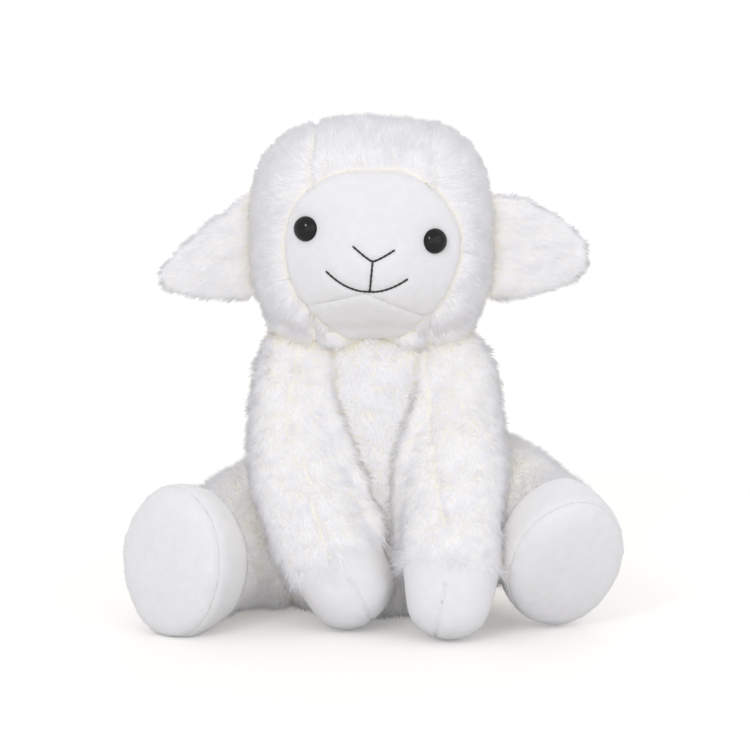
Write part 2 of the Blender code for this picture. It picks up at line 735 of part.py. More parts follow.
class Limb:
    """A swelling, tapering tube along a curve with three handles."""

    def __init__(self, root, bend, end, along_hint, along_other, hint, root_dome, end_dome):
        self.handles = (root, bend, end)
        self.sizes = [(a, b) for a, b in zip(along_hint, along_other)]
        self.hint = hint
        self.root_dome = root_dome
        self.end_dome = end_dome

    def centre(self, share):
        """Middle of the limb at a share of its length."""
        root, bend, end = self.handles
        return root * (1 - share) ** 2 + bend * (2 * share * (1 - share)) + end * share**2

    def frame(self, share):
        """Directions along the limb, along its hint and across both."""
        root, bend, end = self.handles
        along = ((bend - root) * (1 - share) + (end - bend) * share).normalized()
        first = (self.hint - along * self.hint.dot(along)).normalized()
        return along, first, along.cross(first)

    def ring(self, share, grow, sides, beyond=0.0, shrink=1.0):
        """One ring of the limb's surface, which a dome moves on and makes smaller."""
        along, first, second = self.frame(share)
        size = smooth_row(self.sizes, share * (len(self.sizes) - 1))
        middle = self.centre(share) + along * beyond
        wide, deep = ((length + grow) * shrink for length in size)
        return circle(middle, first * wide, second * deep, 1.0, sides)

    def dome(self, share, depth, grow, sides, outward, lift=0.0):
        """Rings that close an end, from its edge to its pole."""
        along = self.frame(share)[0]
        rings = []
        for i in range(1, DOME_RINGS):
            angle = math.pi / 2 * i / DOME_RINGS
            beyond = outward * (lift + (depth + grow) * math.sin(angle))
            rings.append(self.ring(share, grow, sides, beyond, math.cos(angle)))
        rings.append([self.centre(share) + along * (outward * (lift + depth + grow))])
        return rings

    def tube(self, grow, start, end, sides, count):
        """Rings from one share of the limb's length to another."""
        return [self.ring(mixed(start, end, i / count), grow, sides) for i in range(count + 1)]

    def root_end(self, grow, sides):
        """The rounded root, from its pole to where the tube begins."""
        return list(reversed(self.dome(0.0, self.root_dome, grow, sides, -1)))

    def far_end(self, grow, sides, lift=0.0):
        """The rounded far end, from where the tube ends to its pole."""
        return self.dome(1.0, self.end_dome, grow, sides, 1, lift)

    def sleeve(self, outside, inside, end):
        """Rings of a cover closed at the root and open at a share of the length."""
        fewer = int(LIMB_RINGS * INNER_SHARE)
        outer = self.root_end(outside, LIMB_SIDES) + self.tube(outside, 0.0, end, LIMB_SIDES, LIMB_RINGS)
        inner = self.root_end(inside, LIMB_SIDES) + self.tube(inside, 0.0, end, LIMB_SIDES, fewer)
        return outer + list(reversed(inner))

    def solid(self, grow):
        """Rings of the whole limb with one thickness."""
        sides = int(LIMB_SIDES * INNER_SHARE)
        tube = self.tube(grow, 0.0, 1.0, sides, LIMB_RINGS)
        return self.root_end(grow, sides) + tube + self.far_end(grow, sides)

    def clothed(self, change_at, more):
        """Rings of the whole limb, furry up to a share and smooth past it, moved out by more."""
        fur, smooth = FUR_PILE + more, SMOOTH_PILE + more
        near = self.root_end(fur, LIMB_SIDES) + self.tube(fur, 0.0, change_at, LIMB_SIDES, LIMB_RINGS)
        near.append(self.ring(change_at, fur, LIMB_SIDES, more))
        past = change_at + more / (self.handles[2] - self.handles[1]).length
        far = self.tube(smooth, past, 1.0, LIMB_SIDES, FOOT_RINGS)
        return near + far + self.far_end(smooth, LIMB_SIDES, more)


def planted(limb, moved, height):
    """Moves a limb's far end, and another of its handles, up or down so that its lowest
    point comes to a height."""
    end = limb.handles[2]
    rings = [limb.ring(1.0, SMOOTH_PILE, LIMB_SIDES), *limb.far_end(SMOOTH_PILE, LIMB_SIDES)]
    rise = height - min(point.z for ring in rings for point in ring)
    end.z += rise
    if moved is not end:
        moved.z += rise
    return limb


def foreleg(side):
    """The foreleg on one side."""
    left = side == LEFT
    root = Vector((side * SHOULDER.x, SHOULDER.y, SHOULDER.z))
    elbow_x, elbow_y = (ELBOW_X_LEFT, ELBOW_Y_LEFT) if left else (ELBOW_X_RIGHT, ELBOW_Y_RIGHT)
    bend = Vector((elbow_x, elbow_y, ELBOW_HEIGHT))
    end = Vector((HOOF_X_LEFT if left else HOOF_X_RIGHT, HOOF_Y_LEFT if left else HOOF_Y_RIGHT, HOOF_DOME))
    across = Vector((1.0, 0.0, 0.0))
    limb = Limb(root, bend, end, FORELEG_WIDTHS, FORELEG_DEPTHS, across, SHOULDER_RADIUS, HOOF_DOME)
    return planted(limb, end, -FLOOR_CUT)


def hip(side):
    """Centre of the rounded root of a hind leg."""
    lift = HIP_LIFT_LEFT if side == LEFT else HIP_LIFT_RIGHT
    return Vector((side * HIP_X, HIP_Y, HIP_HALF_HEIGHT + FUR_PILE - FLOOR_CUT + lift))


def hind_leg(side):
    """The hind leg on one side. It ends square to its sole."""
    left = side == LEFT
    turn = SOLE_TURN_LEFT if left else SOLE_TURN_RIGHT
    tip = SOLE_TIP_LEFT if left else SOLE_TIP_RIGHT
    out = Vector((side * math.sin(turn) * math.cos(tip), -math.cos(turn) * math.cos(tip), math.sin(tip)))
    sole_x, sole_y = (SOLE_X_LEFT, SOLE_Y_LEFT) if left else (SOLE_X_RIGHT, SOLE_Y_RIGHT)
    lift = SOLE_LIFT_LEFT if left else SOLE_LIFT_RIGHT
    end = Vector((sole_x, sole_y, HIND_HEIGHTS[-1]))
    bend = end - out * SOLE_REACH
    upright = Vector((0.0, 0.0, 1.0))
    limb = Limb(hip(side), bend, end, HIND_HEIGHTS, HIND_WIDTHS, upright, HIP_RADIUS, SOLE_DOME)
    return planted(limb, bend, lift - FLOOR_CUT)


def hip_oval(side, grow):
    """The upright oval that a hind leg's root turns in."""
    across = HIP_RADIUS + FUR_PILE + grow
    return oval("cutter", hip(side), (across, across, HIP_HALF_HEIGHT + FUR_PILE + grow))


def shoulder_ball(side, grow):
    """The ball that a foreleg's root turns in."""
    radius = SHOULDER_RADIUS + FUR_PILE + grow
    return oval("cutter", Vector((side * SHOULDER.x, SHOULDER.y, SHOULDER.z)), (radius, radius, radius))


def tail_ball(grow):
    """The ball that the tail's root turns in."""
    radius = TAIL_ROOT_RADIUS + grow
    return oval("cutter", TAIL_ROOT, (radius, radius, radius))


def torso_rings(grow, low=0.0, high=0.0, sides=TORSO_SIDES):
    """Rings of the torso's surface, bottom to top, with its ends moved by low and high."""
    rows, rings = TORSO, []
    count = (len(rows) - 1) * TORSO_STEPS
    for i in range(count + 1):
        height, wide, deep, back = smooth_row(rows, i / TORSO_STEPS)
        height += low if i == 0 else high if i == count else 0.0
        across, forward = Vector((wide + grow, 0.0, 0.0)), Vector((0.0, deep + grow, 0.0))
        rings.append(circle(Vector((0.0, back, height)), across, forward, 1.0, sides))
    return rings


def torso_cutter(hole):
    """The space of the torso with its fur, less the socket that one limb's root fills."""
    solid = lofted("cutter", capped(torso_rings(FUR_PILE + GAP, -REACH, GAP)))
    combine(solid, [hole])
    discard([hole])
    return solid


def chest_outline(grow):
    """The chest panel from the front, between its two side seams."""
    top, bottom = CHEST_HALF_WIDTH_TOP + grow, CHEST_HALF_WIDTH_BOTTOM + grow
    low, high = CHEST_BOTTOM - grow, NECK_HEIGHT + REACH
    slope = (top - bottom) / (NECK_HEIGHT - CHEST_BOTTOM)
    far = top + slope * REACH
    return [(-bottom, low), (bottom, low), (far, high), (-far, high)]


def make_torso():
    """The body's covers, its seat, its filling and the bag of pellets."""
    sockets = [shoulder_ball(side, SOCKET_GAP) for side in (LEFT, RIGHT)]
    sockets += [hip_oval(side, SOCKET_GAP) for side in (LEFT, RIGHT)]
    sockets.append(tail_ball(SOCKET_GAP))
    outer = torso_rings(FUR_PILE)
    inner = torso_rings(-FUR_BACKING)
    skin = outer + list(reversed(inner))
    front = prism("cutter", chest_outline(0.0), -REACH, TORSO[0][3])
    chest = combine(lofted("chest_panel", skin, closed=True), [front], "INTERSECT")
    combine(chest, sockets)
    discard([front])
    front = prism("cutter", chest_outline(GAP), -REACH, TORSO[0][3])
    cover = combine(lofted("body_cover", skin, closed=True), [front, *sockets])
    discard([front])
    dressed(chest, "fur")
    dressed(cover, "fur")

    bottom = torso_rings(-FUR_BACKING - GAP)[0]
    raised = [point + Vector((0.0, 0.0, SEAT_PANEL_THICKNESS)) for point in bottom]
    seat = lofted("seat_panel", capped([bottom, raised]))
    combine(seat, sockets)
    dressed(seat, "smooth_cloth")

    bag_low = SEAT_PANEL_THICKNESS + GAP
    bag_centre = Vector((0.0, TORSO[0][3], bag_low))
    bag_size = Vector((PELLET_BAG_HALF_WIDTH, PELLET_BAG_HALF_DEPTH, PELLET_BAG_HEIGHT))
    under = box("cutter", (-REACH, -REACH, -REACH), (REACH, REACH, bag_low))
    bag = combine(oval("pellet_bag", bag_centre, bag_size), [under])
    dressed(bag, "lining")
    room = oval("cutter", bag_centre, bag_size + Vector((SOCKET_GAP, SOCKET_GAP, SOCKET_GAP)))
    filling = lofted("body_stuffing", capped(torso_rings(-FUR_BACKING - FILLING_GAP, bag_low, -GAP)))
    combine(filling, [*sockets, room])
    dressed(filling, "fibre")
    discard([*sockets, room, under])


def make_foreleg(side):
    """One foreleg: furry sleeve, smooth hoof and filling."""
    name, limb = SIDE_NAMES[side], foreleg(side)
    root = limb.handles[0]
    torso = torso_cutter(shoulder_ball(side, GAP))
    hind = lofted("cutter", hind_leg(side).clothed(ANKLE_AT, SOCKET_GAP))
    divide = FORELEG_DIVIDE_X + side * GAP
    edges = sorted((divide, -side * REACH))
    other = box("cutter", (edges[0], -REACH, -REACH), (edges[1], REACH, REACH))
    floor = floor_box()
    above_neck = box("cutter", (-REACH, -REACH, NECK_HEIGHT), (REACH, REACH, 2 * REACH))
    lift = give(root, Vector((-1.0, 0.0, 0.0)), FORELEG_LIFT)

    sleeve = lofted(f"foreleg_sleeve_{name}", limb.sleeve(FUR_PILE, -FUR_BACKING, CUFF_AT))
    start = CUFF_AT + GAP / (limb.handles[2] - limb.handles[1]).length
    outer, inner = (
        limb.tube(grow, start, 1.0, LIMB_SIDES, FOOT_RINGS) + limb.far_end(grow, LIMB_SIDES)
        for grow in (SMOOTH_PILE, -SMOOTH_BACKING)
    )
    hoof = lofted(f"hoof_{name}", list(reversed(outer)) + inner)
    filling = lofted(f"foreleg_stuffing_{name}", limb.solid(-SMOOTH_BACKING - FILLING_GAP))
    for piece, look in ((sleeve, "fur"), (hoof, "smooth_cloth"), (filling, "fibre")):
        combine(piece, [other, floor])
        clear_of(piece, torso, lift)
        clear_of(piece, hind, lift)
        clear_of(piece, above_neck, lift)
        seat_at(piece, root)
        dressed(piece, look)
    discard([torso, hind, other, floor, above_neck])


def make_hind_leg(side):
    """One hind leg: furry thigh, smooth foot with its sole, and filling."""
    name, limb = SIDE_NAMES[side], hind_leg(side)
    root = limb.handles[0]
    torso = torso_cutter(hip_oval(side, GAP))
    floor = floor_box()
    splay = give(root, Vector((0.0, 0.0, side)), HIND_LEG_SPLAY)
    start = ANKLE_AT + GAP / SOLE_REACH
    thigh = lofted(f"thigh_cover_{name}", limb.sleeve(FUR_PILE, -FUR_BACKING, ANKLE_AT))
    outer, inner = (
        limb.tube(grow, start, 1.0, LIMB_SIDES, FOOT_RINGS) for grow in (SMOOTH_PILE, -SMOOTH_BACKING)
    )
    shell = lofted(f"foot_shell_{name}", outer + list(reversed(inner)), closed=True)
    above, below = (
        [limb.ring(1.0, grow, LIMB_SIDES, GAP), *limb.far_end(grow, LIMB_SIDES, GAP)]
        for grow in (SMOOTH_PILE, -SMOOTH_BACKING)
    )
    sole = lofted(f"foot_sole_{name}", list(reversed(above)) + below)
    filling = lofted(f"hind_leg_stuffing_{name}", limb.solid(-SMOOTH_BACKING - FILLING_GAP))
    pieces = ((thigh, "fur"), (shell, "smooth_cloth"), (sole, "smooth_cloth"), (filling, "fibre"))
    for piece, look in pieces:
        combine(piece, [floor])
        clear_of(piece, torso, splay)
        seat_at(piece, root)
        dressed(piece, look)
    discard([torso, floor])


def make_tail():
    """The short furry tail."""
    hint = Vector((1.0, 0.0, 0.0))
    limb = Limb(TAIL_ROOT, TAIL_MIDDLE, TAIL_TIP, TAIL_WIDTHS, TAIL_DEPTHS, hint, TAIL_ROOT_RADIUS, TAIL_DOME)
    tail = lofted("tail", limb.solid(0.0))
    torso = torso_cutter(tail_ball(GAP))
    clear_of(tail, torso, give(TAIL_ROOT, Vector((0.0, 0.0, 1.0)), TAIL_WAG))
    discard([torso])
    seat_at(tail, TAIL_ROOT)
    dressed(tail, "fur")


def main():
    """Makes the whole toy."""
    clear_scene()
    make_head()
    make_embroidery()
    make_torso()
    make_tail()
    for side in (LEFT, RIGHT):
        make_ear(side)
        make_foreleg(side)
        make_hind_leg(side)


main()
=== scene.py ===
"""A sitting plush lamb, dressed over its solid frame: stuffed forms, sewn cloth, pile,
safety eyes and embroidery. Metres, +Z up, the toy faces -Y."""

import logging
import math
from dataclasses import dataclass, field, replace
from enum import Enum
from typing import Callable, Dict, Iterable, List, Optional, Sequence, Tuple

import bmesh
import bpy
import numpy as np
from mathutils import Matrix, Vector
from mathutils.bvhtree import BVHTree
from mathutils.kdtree import KDTree


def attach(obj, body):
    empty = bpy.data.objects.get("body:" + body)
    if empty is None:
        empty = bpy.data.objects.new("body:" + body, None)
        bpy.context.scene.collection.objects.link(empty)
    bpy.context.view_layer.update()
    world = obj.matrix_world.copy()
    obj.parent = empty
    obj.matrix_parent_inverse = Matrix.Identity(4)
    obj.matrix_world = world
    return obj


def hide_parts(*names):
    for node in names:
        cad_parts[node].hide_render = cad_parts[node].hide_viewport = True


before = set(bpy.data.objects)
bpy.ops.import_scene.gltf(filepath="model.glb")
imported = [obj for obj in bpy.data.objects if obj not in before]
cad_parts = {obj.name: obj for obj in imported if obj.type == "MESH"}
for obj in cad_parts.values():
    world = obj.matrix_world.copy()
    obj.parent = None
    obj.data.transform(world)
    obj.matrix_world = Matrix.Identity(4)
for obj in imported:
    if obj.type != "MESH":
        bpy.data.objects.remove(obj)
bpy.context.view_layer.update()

logging.basicConfig(level=logging.INFO, format="%(message)s")
log = logging.getLogger("lamb")

MM = 0.001
SEED = 1741
UP = Vector((0.0, 0.0, 1.0))
Place = Tuple[float, float, float]
Route = Sequence[Tuple[float, float]]  # X and Z of a line's corners, drawn from the front

# Faces of one panel's pile: past this, fewer and wider hairs cover it.
MOST_FACES = 154_000
SAME_PLACE = 1e-6
TINY = 1e-9

# Forms: the filling's push, the steps in which a form is drawn in, and how its surface waves.
FILL_PRESSURE = 4.0
FILL_FRAMES = 20
DRAW_STEPS = 8
MEETING_REACH = 2.2 * MM
LUMP_SIZE = 34 * MM
LUMP_RISE = 0.35 * MM
LOWEST_CLOTH = 0.3 * MM

# Seams: how finely they are followed, and how deep and how wide they press in.
LINE_STEP = 0.35 * MM
LEAST_SHARE = 0.08
FRONT_FACING = 0.35
SEAM_REACH = 1.6 * MM
CREASE_DEPTH, CREASE_REACH, CREASE_PARTING = 1.6 * MM, 2.6 * MM, 0.6
GROOVE_DEPTH, GROOVE_REACH = 1.2 * MM, 1.0 * MM
SEAM_ALLOWANCE = 1.5 * MM

# Pile: the sizes of its drifts, tufts and tones, its lean in radians, and its reach along hems.
DRIFT_SIZE, TUFT_SIZE, LEAN_SIZE, TONE_SIZE = 11 * MM, 3.2 * MM, 5 * MM, 16 * MM
LEAST_LEAN, MOST_LEAN, FLATTEST = 0.05, 1.35, 1.5
ROOT_LEAN, TIP_LEAN = 0.7, 1.3
BARE_SHARE, COOL_BELOW = 0.85, -0.2
FLATNESS, BELLY = 0.45, 1.5
ROOT_DEPTH, FLOOR_GAP = 0.3 * MM, 0.25 * MM
# The last of these is how far from another part the painted shade on the pile reaches.
HANGING_REACH, FRINGE_REACH, PAINTED_SHADE_REACH = 7 * MM, 1.6 * MM, 3.2 * MM


# Small helpers

def colour(code: str) -> Tuple[float, float, float, float]:
    """Turns an sRGB hex code into a linear colour.

    Args:
        code: Six hex digits, such as "e8e6e0".

    Returns:
        Red, green, blue and alpha.
    """
    values = [int(code[i:i + 2], 16) / 255 for i in (0, 2, 4)]
    linear = [v / 12.92 if v <= 0.04045 else ((v + 0.055) / 1.055) ** 2.4 for v in values]
    return (*linear, 1.0)


def add_node(tree: bpy.types.NodeTree, kind: str, inputs: Optional[Dict] = None, **settings) -> bpy.types.Node:
    """Adds a shader node with its settings, values and links.

    Args:
        tree: The material's node tree.
        kind: The node's type name.
        inputs: Socket name or index to a value, or to an output socket to link from.
        settings: Attributes of the node itself.

    Returns:
        The new node.
    """
    node = tree.nodes.new(kind)
    for name, value in settings.items():
        setattr(node, name, value)
    for name, value in (inputs or {}).items():
        if isinstance(value, bpy.types.NodeSocket):
            tree.links.new(value, node.inputs[name])
        else:
            node.inputs[name].default_value = value
    return node


def link(name: str, mesh: bpy.types.Mesh) -> bpy.types.Object:
    """Puts a mesh in the scene under a name."""
    piece = bpy.data.objects.new(name, mesh)
    bpy.context.scene.collection.objects.link(piece)
    return piece


def from_shape(name: str, shape: bmesh.types.BMesh) -> bpy.types.Object:
    """Makes an object of a bmesh and frees the bmesh."""
    mesh = bpy.data.meshes.new(name)
    shape.to_mesh(mesh)
    shape.free()
    return link(name, mesh)


def opened(piece: bpy.types.Object) -> bmesh.types.BMesh:
    """Opens a piece's mesh as a bmesh."""
    shape = bmesh.new()
    shape.from_mesh(piece.data)
    return shape


def closed(piece: bpy.types.Object, shape: bmesh.types.BMesh) -> None:
    """Writes a bmesh back to its piece and frees it."""
    shape.to_mesh(piece.data)
    shape.free()


def surface_of(piece: bpy.types.Object) -> BVHTree:
    """A search tree of a piece's surface."""
    return BVHTree.FromObject(piece, bpy.context.evaluated_depsgraph_get())


def apply_modifiers(piece: bpy.types.Object) -> None:
    """Replaces a piece's mesh with its evaluated one."""
    graph = bpy.context.evaluated_depsgraph_get()
    mesh = bpy.data.meshes.new_from_object(piece.evaluated_get(graph))
    piece.modifiers.clear()
    old = piece.data
    piece.data = mesh
    bpy.data.meshes.remove(old)


def points_of(mesh: bpy.types.Mesh, what: str = "co") -> np.ndarray:
    """Reads the positions or the normals of a mesh's vertices.

    Args:
        mesh: The mesh.
        what: "co" or "normal".

    Returns:
        An array of one row of three numbers for each vertex.
    """
    values = np.empty(len(mesh.vertices) * 3)
    mesh.vertices.foreach_get(what, values)
    return values.reshape(-1, 3)


def put_points(mesh: bpy.types.Mesh, points: np.ndarray) -> None:
    """Writes the positions of a mesh's vertices."""
    mesh.vertices.foreach_set("co", points.reshape(-1))
    mesh.update()


def unit(vectors: np.ndarray) -> np.ndarray:
    """Scales each row to a length of one."""
    return vectors / np.maximum(np.linalg.norm(vectors, axis=1, keepdims=True), TINY)


def tangent(vectors: np.ndarray, normals: np.ndarray) -> np.ndarray:
    """Takes out of each row what points along its normal."""
    return vectors - normals * np.sum(vectors * normals, axis=1, keepdims=True)


def swirl(points: np.ndarray, length: float, seed: int, waves: int = 9) -> np.ndarray:
    """A smooth random vector field, as pile lies in drifts and not at random.

    Args:
        points: Where to read it.
        length: The size of a drift.
        seed: Which field.
        waves: How many waves it is made of.

    Returns:
        One vector of about unit length for each point.
    """
    rng = np.random.default_rng(seed)
    ways = unit(rng.normal(size=(waves, 3))) * (2 * math.pi / length) * rng.uniform(0.7, 1.4, (waves, 1))
    phases = rng.uniform(0, 2 * math.pi, waves)
    pulls = rng.normal(size=(waves, 3)) / math.sqrt(waves)
    return np.sin(points @ ways.T + phases) @ pulls


# Finishes

@dataclass(frozen=True)
class Finish:
    """A material by its real name.

    Args:
        name: The real material.
        tint: Its sRGB colour.
        shade: The sRGB colour of its darker patches; left out where it has none.
        roughness: From gloss to matt.
        sheen: How much of the light grazing it comes back from loose fibre ends.
        patch: Size of the patches.
        grain: Size of the grain that stands up from it.
        relief: Height of that grain.
        specular: How strongly it mirrors.
    """

    name: str
    tint: str
    shade: Optional[str] = None
    roughness: float = 0.9
    sheen: float = 0.0
    patch: float = 9 * MM
    grain: float = 0.9 * MM
    relief: float = 0.25 * MM
    specular: float = 0.5

    def material(self) -> bpy.types.Material:
        """Builds the material on first use, and afterwards returns the same one."""
        made = bpy.data.materials.get(self.name)
        if made:
            return made
        made = bpy.data.materials.new(self.name)
        made.use_nodes = True
        tree = made.node_tree
        shader = tree.nodes["Principled BSDF"]
        shader.inputs["Base Color"].default_value = colour(self.tint)
        shader.inputs["Roughness"].default_value = self.roughness
        shader.inputs["Sheen Weight"].default_value = self.sheen
        shader.inputs["Sheen Roughness"].default_value = 0.4
        shader.inputs["Specular IOR Level"].default_value = self.specular
        place = add_node(tree, "ShaderNodeTexCoord").outputs["Object"]
        patches = add_node(tree, "ShaderNodeTexNoise", {"Vector": place, "Scale": 1 / self.patch, "Detail": 3.0})
        if self.shade:
            ramp = add_node(tree, "ShaderNodeValToRGB", {"Fac": patches.outputs["Fac"]})
            for end, position, code in zip(ramp.color_ramp.elements, (0.35, 0.65), (self.shade, self.tint)):
                end.position, end.color = position, colour(code)
            tree.links.new(ramp.outputs["Color"], shader.inputs["Base Color"])
        if self.relief:
            fine = add_node(tree, "ShaderNodeTexNoise", {"Vector": place, "Scale": 1 / self.grain, "Detail": 4.0})
            bump = add_node(
                tree, "ShaderNodeBump", {"Height": fine.outputs["Fac"], "Distance": self.relief, "Strength": 1.0}
            )
            tree.links.new(bump.outputs["Normal"], shader.inputs["Normal"])
        spread = add_node(tree, "ShaderNodeMapRange", {
            "Value": patches.outputs["Fac"], "To Min": self.roughness * 0.94,
            "To Max": min(self.roughness * 1.05, 1.0),
        })
        tree.links.new(spread.outputs["Result"], shader.inputs["Roughness"])
        return made


# Knitted backing of the long-pile plush, seen only in the partings: matt and creamy.
BACKING = Finish("knitted_backing", "edeae3", "e7e2d7", roughness=0.95, grain=0.7 * MM)
# Polyester pile: white fibre, whose loose ends catch grazing light.
PILE_WHITE = Finish("polyester_pile_white", "f1f0f5", roughness=0.85, sheen=0.15, relief=0.0)
PILE_COOL = Finish("polyester_pile_cool", "ecebf1", roughness=0.85, sheen=0.15, relief=0.0)
# Painted shade: a darker, warmer pile for hairs that lie against another part, where shade falls between the parts.
PILE_PAINTED_SHADE = Finish("polyester_pile_painted_shade", "ebe4d2", roughness=0.9, sheen=0.1, relief=0.0)
PILE_CREAM = Finish("polyester_pile_cream", "f0ede4", roughness=0.9, sheen=0.2, relief=0.0)
# Short-pile velboa on face, feet and hooves: smooth, faintly mottled where the nap turns.
VELBOA = Finish("short_pile_velboa", "e3e2e6", "e0dfe2", roughness=0.9, sheen=0.2, patch=5 * MM, grain=0.5 * MM)
# Polyester fibre filling: loose, soft and white.
FIBRE = Finish("polyester_fibre_filling", "f0f0f2", "e4e4e8", roughness=0.95, relief=0.6 * MM, grain=3 * MM)
# Cotton bag of plastic pellets: plain weave over lumps.
PELLET_COTTON = Finish("cotton_pellet_bag", "d8d2c2", "cdc6b4", roughness=0.9, relief=0.8 * MM, grain=3.5 * MM)
# Polished ABS of safety eyes: black, with a hard clear gloss.
EYE_ABS = Finish("polished_black_abs", "08080a", roughness=0.1, relief=0.0, specular=0.3)
# Moulded polyethylene of the lock washers: milky and matt.
WASHER_PE = Finish("moulded_polyethylene", "dedcd4", roughness=0.5, relief=0.05 * MM)
# Embroidery thread: black rayon, with a silky gloss over its twist.
THREAD = Finish("black_rayon_thread", "141416", "1f1f22", roughness=0.5, relief=0.15 * MM, grain=0.35 * MM)
# The nap of that velboa: short white fibre.
NAP_FINISH = Finish("short_pile_nap", "e3e2e6", roughness=0.9, sheen=0.2, relief=0.0)
LONG_PILE = (PILE_WHITE, PILE_COOL, PILE_CREAM, PILE_PAINTED_SHADE)
SHORT_PILE = (NAP_FINISH,) * 4


def finish_piece(piece: bpy.types.Object, finish: Finish, body: str, node: str) -> None:
    """Gives a piece its finish and its place in the frame.

    Args:
        piece: The piece.
        finish: Its finish.
        body: The moving body that it rides on.
        node: The CAD node that it replaces.
    """
    piece.data.materials.append(finish.material())
    piece.data.shade_smooth()
    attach(piece, body)
    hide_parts(node)
    log.info("%s: %d faces", piece.name, len(piece.data.polygons))


class Strand(Enum):
    """How a hair of the pile is made."""

    STRAIGHT = "straight"
    BENT = "bent"


class Hem(Enum):
    """How the pile behaves along the edge of its panel."""

    COMBED_BACK = "combed back"
    HANGING = "hanging"
    FRINGED = "fringed"


@dataclass(frozen=True)
class Pile:
    """A kind of pile.

    Args:
        length: Length of a hair.
        width: Width of a hair at its root.
        density: Hairs on a square centimetre.
        lean: Angle from upright at which the hairs lie, in degrees.
        drift: How far the drifts turn the hairs aside.
        tuft: How far the small tufts turn them aside.
        loose: How far each hair strays by itself.
        strand: Straight hairs, or bent ones.
        evened: How far its shading follows the cloth's, so that it looks dense and soft.
        finishes: Of its plain hairs, its cool ones, those in a parting, and those against another part, which carry
            painted shade.
    """

    length: float
    width: float
    density: float
    lean: float = 50.0
    drift: float = 0.3
    tuft: float = 0.22
    loose: float = 0.2
    strand: Strand = Strand.STRAIGHT
    evened: float = 0.7
    finishes: Tuple[Finish, Finish, Finish, Finish] = LONG_PILE


PLUSH = Pile(7.0 * MM, 0.44 * MM, 350, drift=0.28, tuft=0.16, loose=0.17)
LEG_PLUSH = replace(PLUSH, evened=0.25)
EAR_PLUSH = Pile(6.5 * MM, 0.36 * MM, 460, lean=58, drift=0.25)
SHAGGY = Pile(8.5 * MM, 0.7 * MM, 170, lean=48, drift=0.7, tuft=0.5, strand=Strand.BENT)
NAP = Pile(1.2 * MM, 0.34 * MM, 90, lean=55, drift=0.3, tuft=0.25, loose=0.35, finishes=SHORT_PILE)


@dataclass(frozen=True)
class Flow:
    """Which way the pile is combed: along a direction, or away from a point.

    Args:
        along: A fixed direction.
        source: The point that it spreads from, which adds to the direction.
        spread: How much of the spreading is added.
    """

    along: Place = (0.0, 0.0, -1.0)
    source: Optional[Place] = None
    spread: float = 1.0

    def at(self, points: np.ndarray) -> np.ndarray:
        """Reads the direction at each point."""
        ways = np.tile(np.array(self.along, dtype=float), (len(points), 1))
        if self.source is not None:
            ways = ways + unit(points - np.array(self.source)) * self.spread
        return ways


@dataclass(frozen=True)
class Panel:
    """A piece of cloth, which takes the place of one CAD node.

    Args:
        node: The CAD node.
        slot: The record's material slot.
        pile: Its pile.
        flow: How that is combed.
        parting: How strongly it parts along its seams.
    """

    node: str
    slot: str
    pile: Pile
    flow: Flow
    parting: float = 1.0

    @property
    def furry(self) -> bool:
        """True for long-pile plush."""
        return self.slot == "fur_plush"


@dataclass
class Seam:
    """Lines where hairs part or are trimmed, felt by each hair on its own.

    Args:
        points: Points along the lines.
        strength: How strongly at each point, from 0 to 1.
    """

    points: List[Vector] = field(default_factory=list)
    strength: List[float] = field(default_factory=list)

    def add(self, line: Sequence[Vector], strength: float = 1.0) -> None:
        """Adds a line."""
        self.points += line
        self.strength += [strength] * len(line)

    def felt(self, places: np.ndarray) -> Tuple[np.ndarray, np.ndarray, np.ndarray]:
        """How each place lies to the nearest line.

        Args:
            places: The places.

        Returns:
            The way from the line, the distance and the strength.
        """
        if not self.points:
            return np.zeros_like(places), np.full(len(places), 1.0), np.zeros(len(places))
        tree = kd_of(self.points)
        found = [tree.find(Vector(place)) for place in places]
        spots = np.array([spot[:] for spot, _, _ in found])
        strength = np.array(self.strength)[[index for _, index, _ in found]]
        return unit(places - spots), np.array([span for _, _, span in found]), strength


# Making forms

def copied(names: Sequence[str]) -> bmesh.types.BMesh:
    """Joins copies of CAD nodes in one bmesh, with their loose triangles merged."""
    shape = bmesh.new()
    for name in names:
        shape.from_mesh(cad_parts[name].data)
    bmesh.ops.remove_doubles(shape, verts=shape.verts, dist=SAME_PLACE)
    return shape


def tree_of(nodes: Sequence[str]) -> BVHTree:
    """A search tree of CAD nodes' surfaces."""
    shape = copied(nodes)
    tree = BVHTree.FromBMesh(shape)
    shape.free()
    return tree


def kd_of(points: Sequence[Vector]) -> KDTree:
    """A search tree of points."""
    tree = KDTree(max(len(points), 1))
    for index, point in enumerate(points):
        tree.insert(point, index)
    tree.balance()
    return tree


def nearest(tree: BVHTree, points: np.ndarray) -> np.ndarray:
    """Distance of each point from a surface."""
    return np.array([tree.find_nearest(Vector(point))[3] for point in points])


def islands(items: Iterable, beside: Callable) -> List[List]:
    """Sorts vertices or faces into islands.

    Args:
        items: The vertices or faces.
        beside: Gives those that hang on to one of them.

    Returns:
        The islands, in the order in which they are met.
    """
    seen, found = set(), []
    for start in items:
        if start in seen:
            continue
        seen.add(start)
        island, front = [], [start]
        while front:
            item = front.pop()
            island.append(item)
            for other in beside(item):
                if other not in seen:
                    seen.add(other)
                    front.append(other)
        found.append(island)
    return found


def keep_largest(piece: bpy.types.Object) -> None:
    """Keeps only the largest body of a mesh, without the pockets inside it."""
    shape = opened(piece)
    found = islands(shape.verts, lambda vertex: [edge.other_vert(vertex) for edge in vertex.link_edges])
    keep = set(max(found, key=len))
    bmesh.ops.delete(shape, geom=[v for v in shape.verts if v not in keep], context="VERTS")
    closed(piece, shape)


def softened(form: bpy.types.Object, times: int) -> None:
    """Smooths a form a number of times."""
    step = form.modifiers.new("soften", "SMOOTH")
    step.factor = 0.5
    step.iterations = times
    apply_modifiers(form)


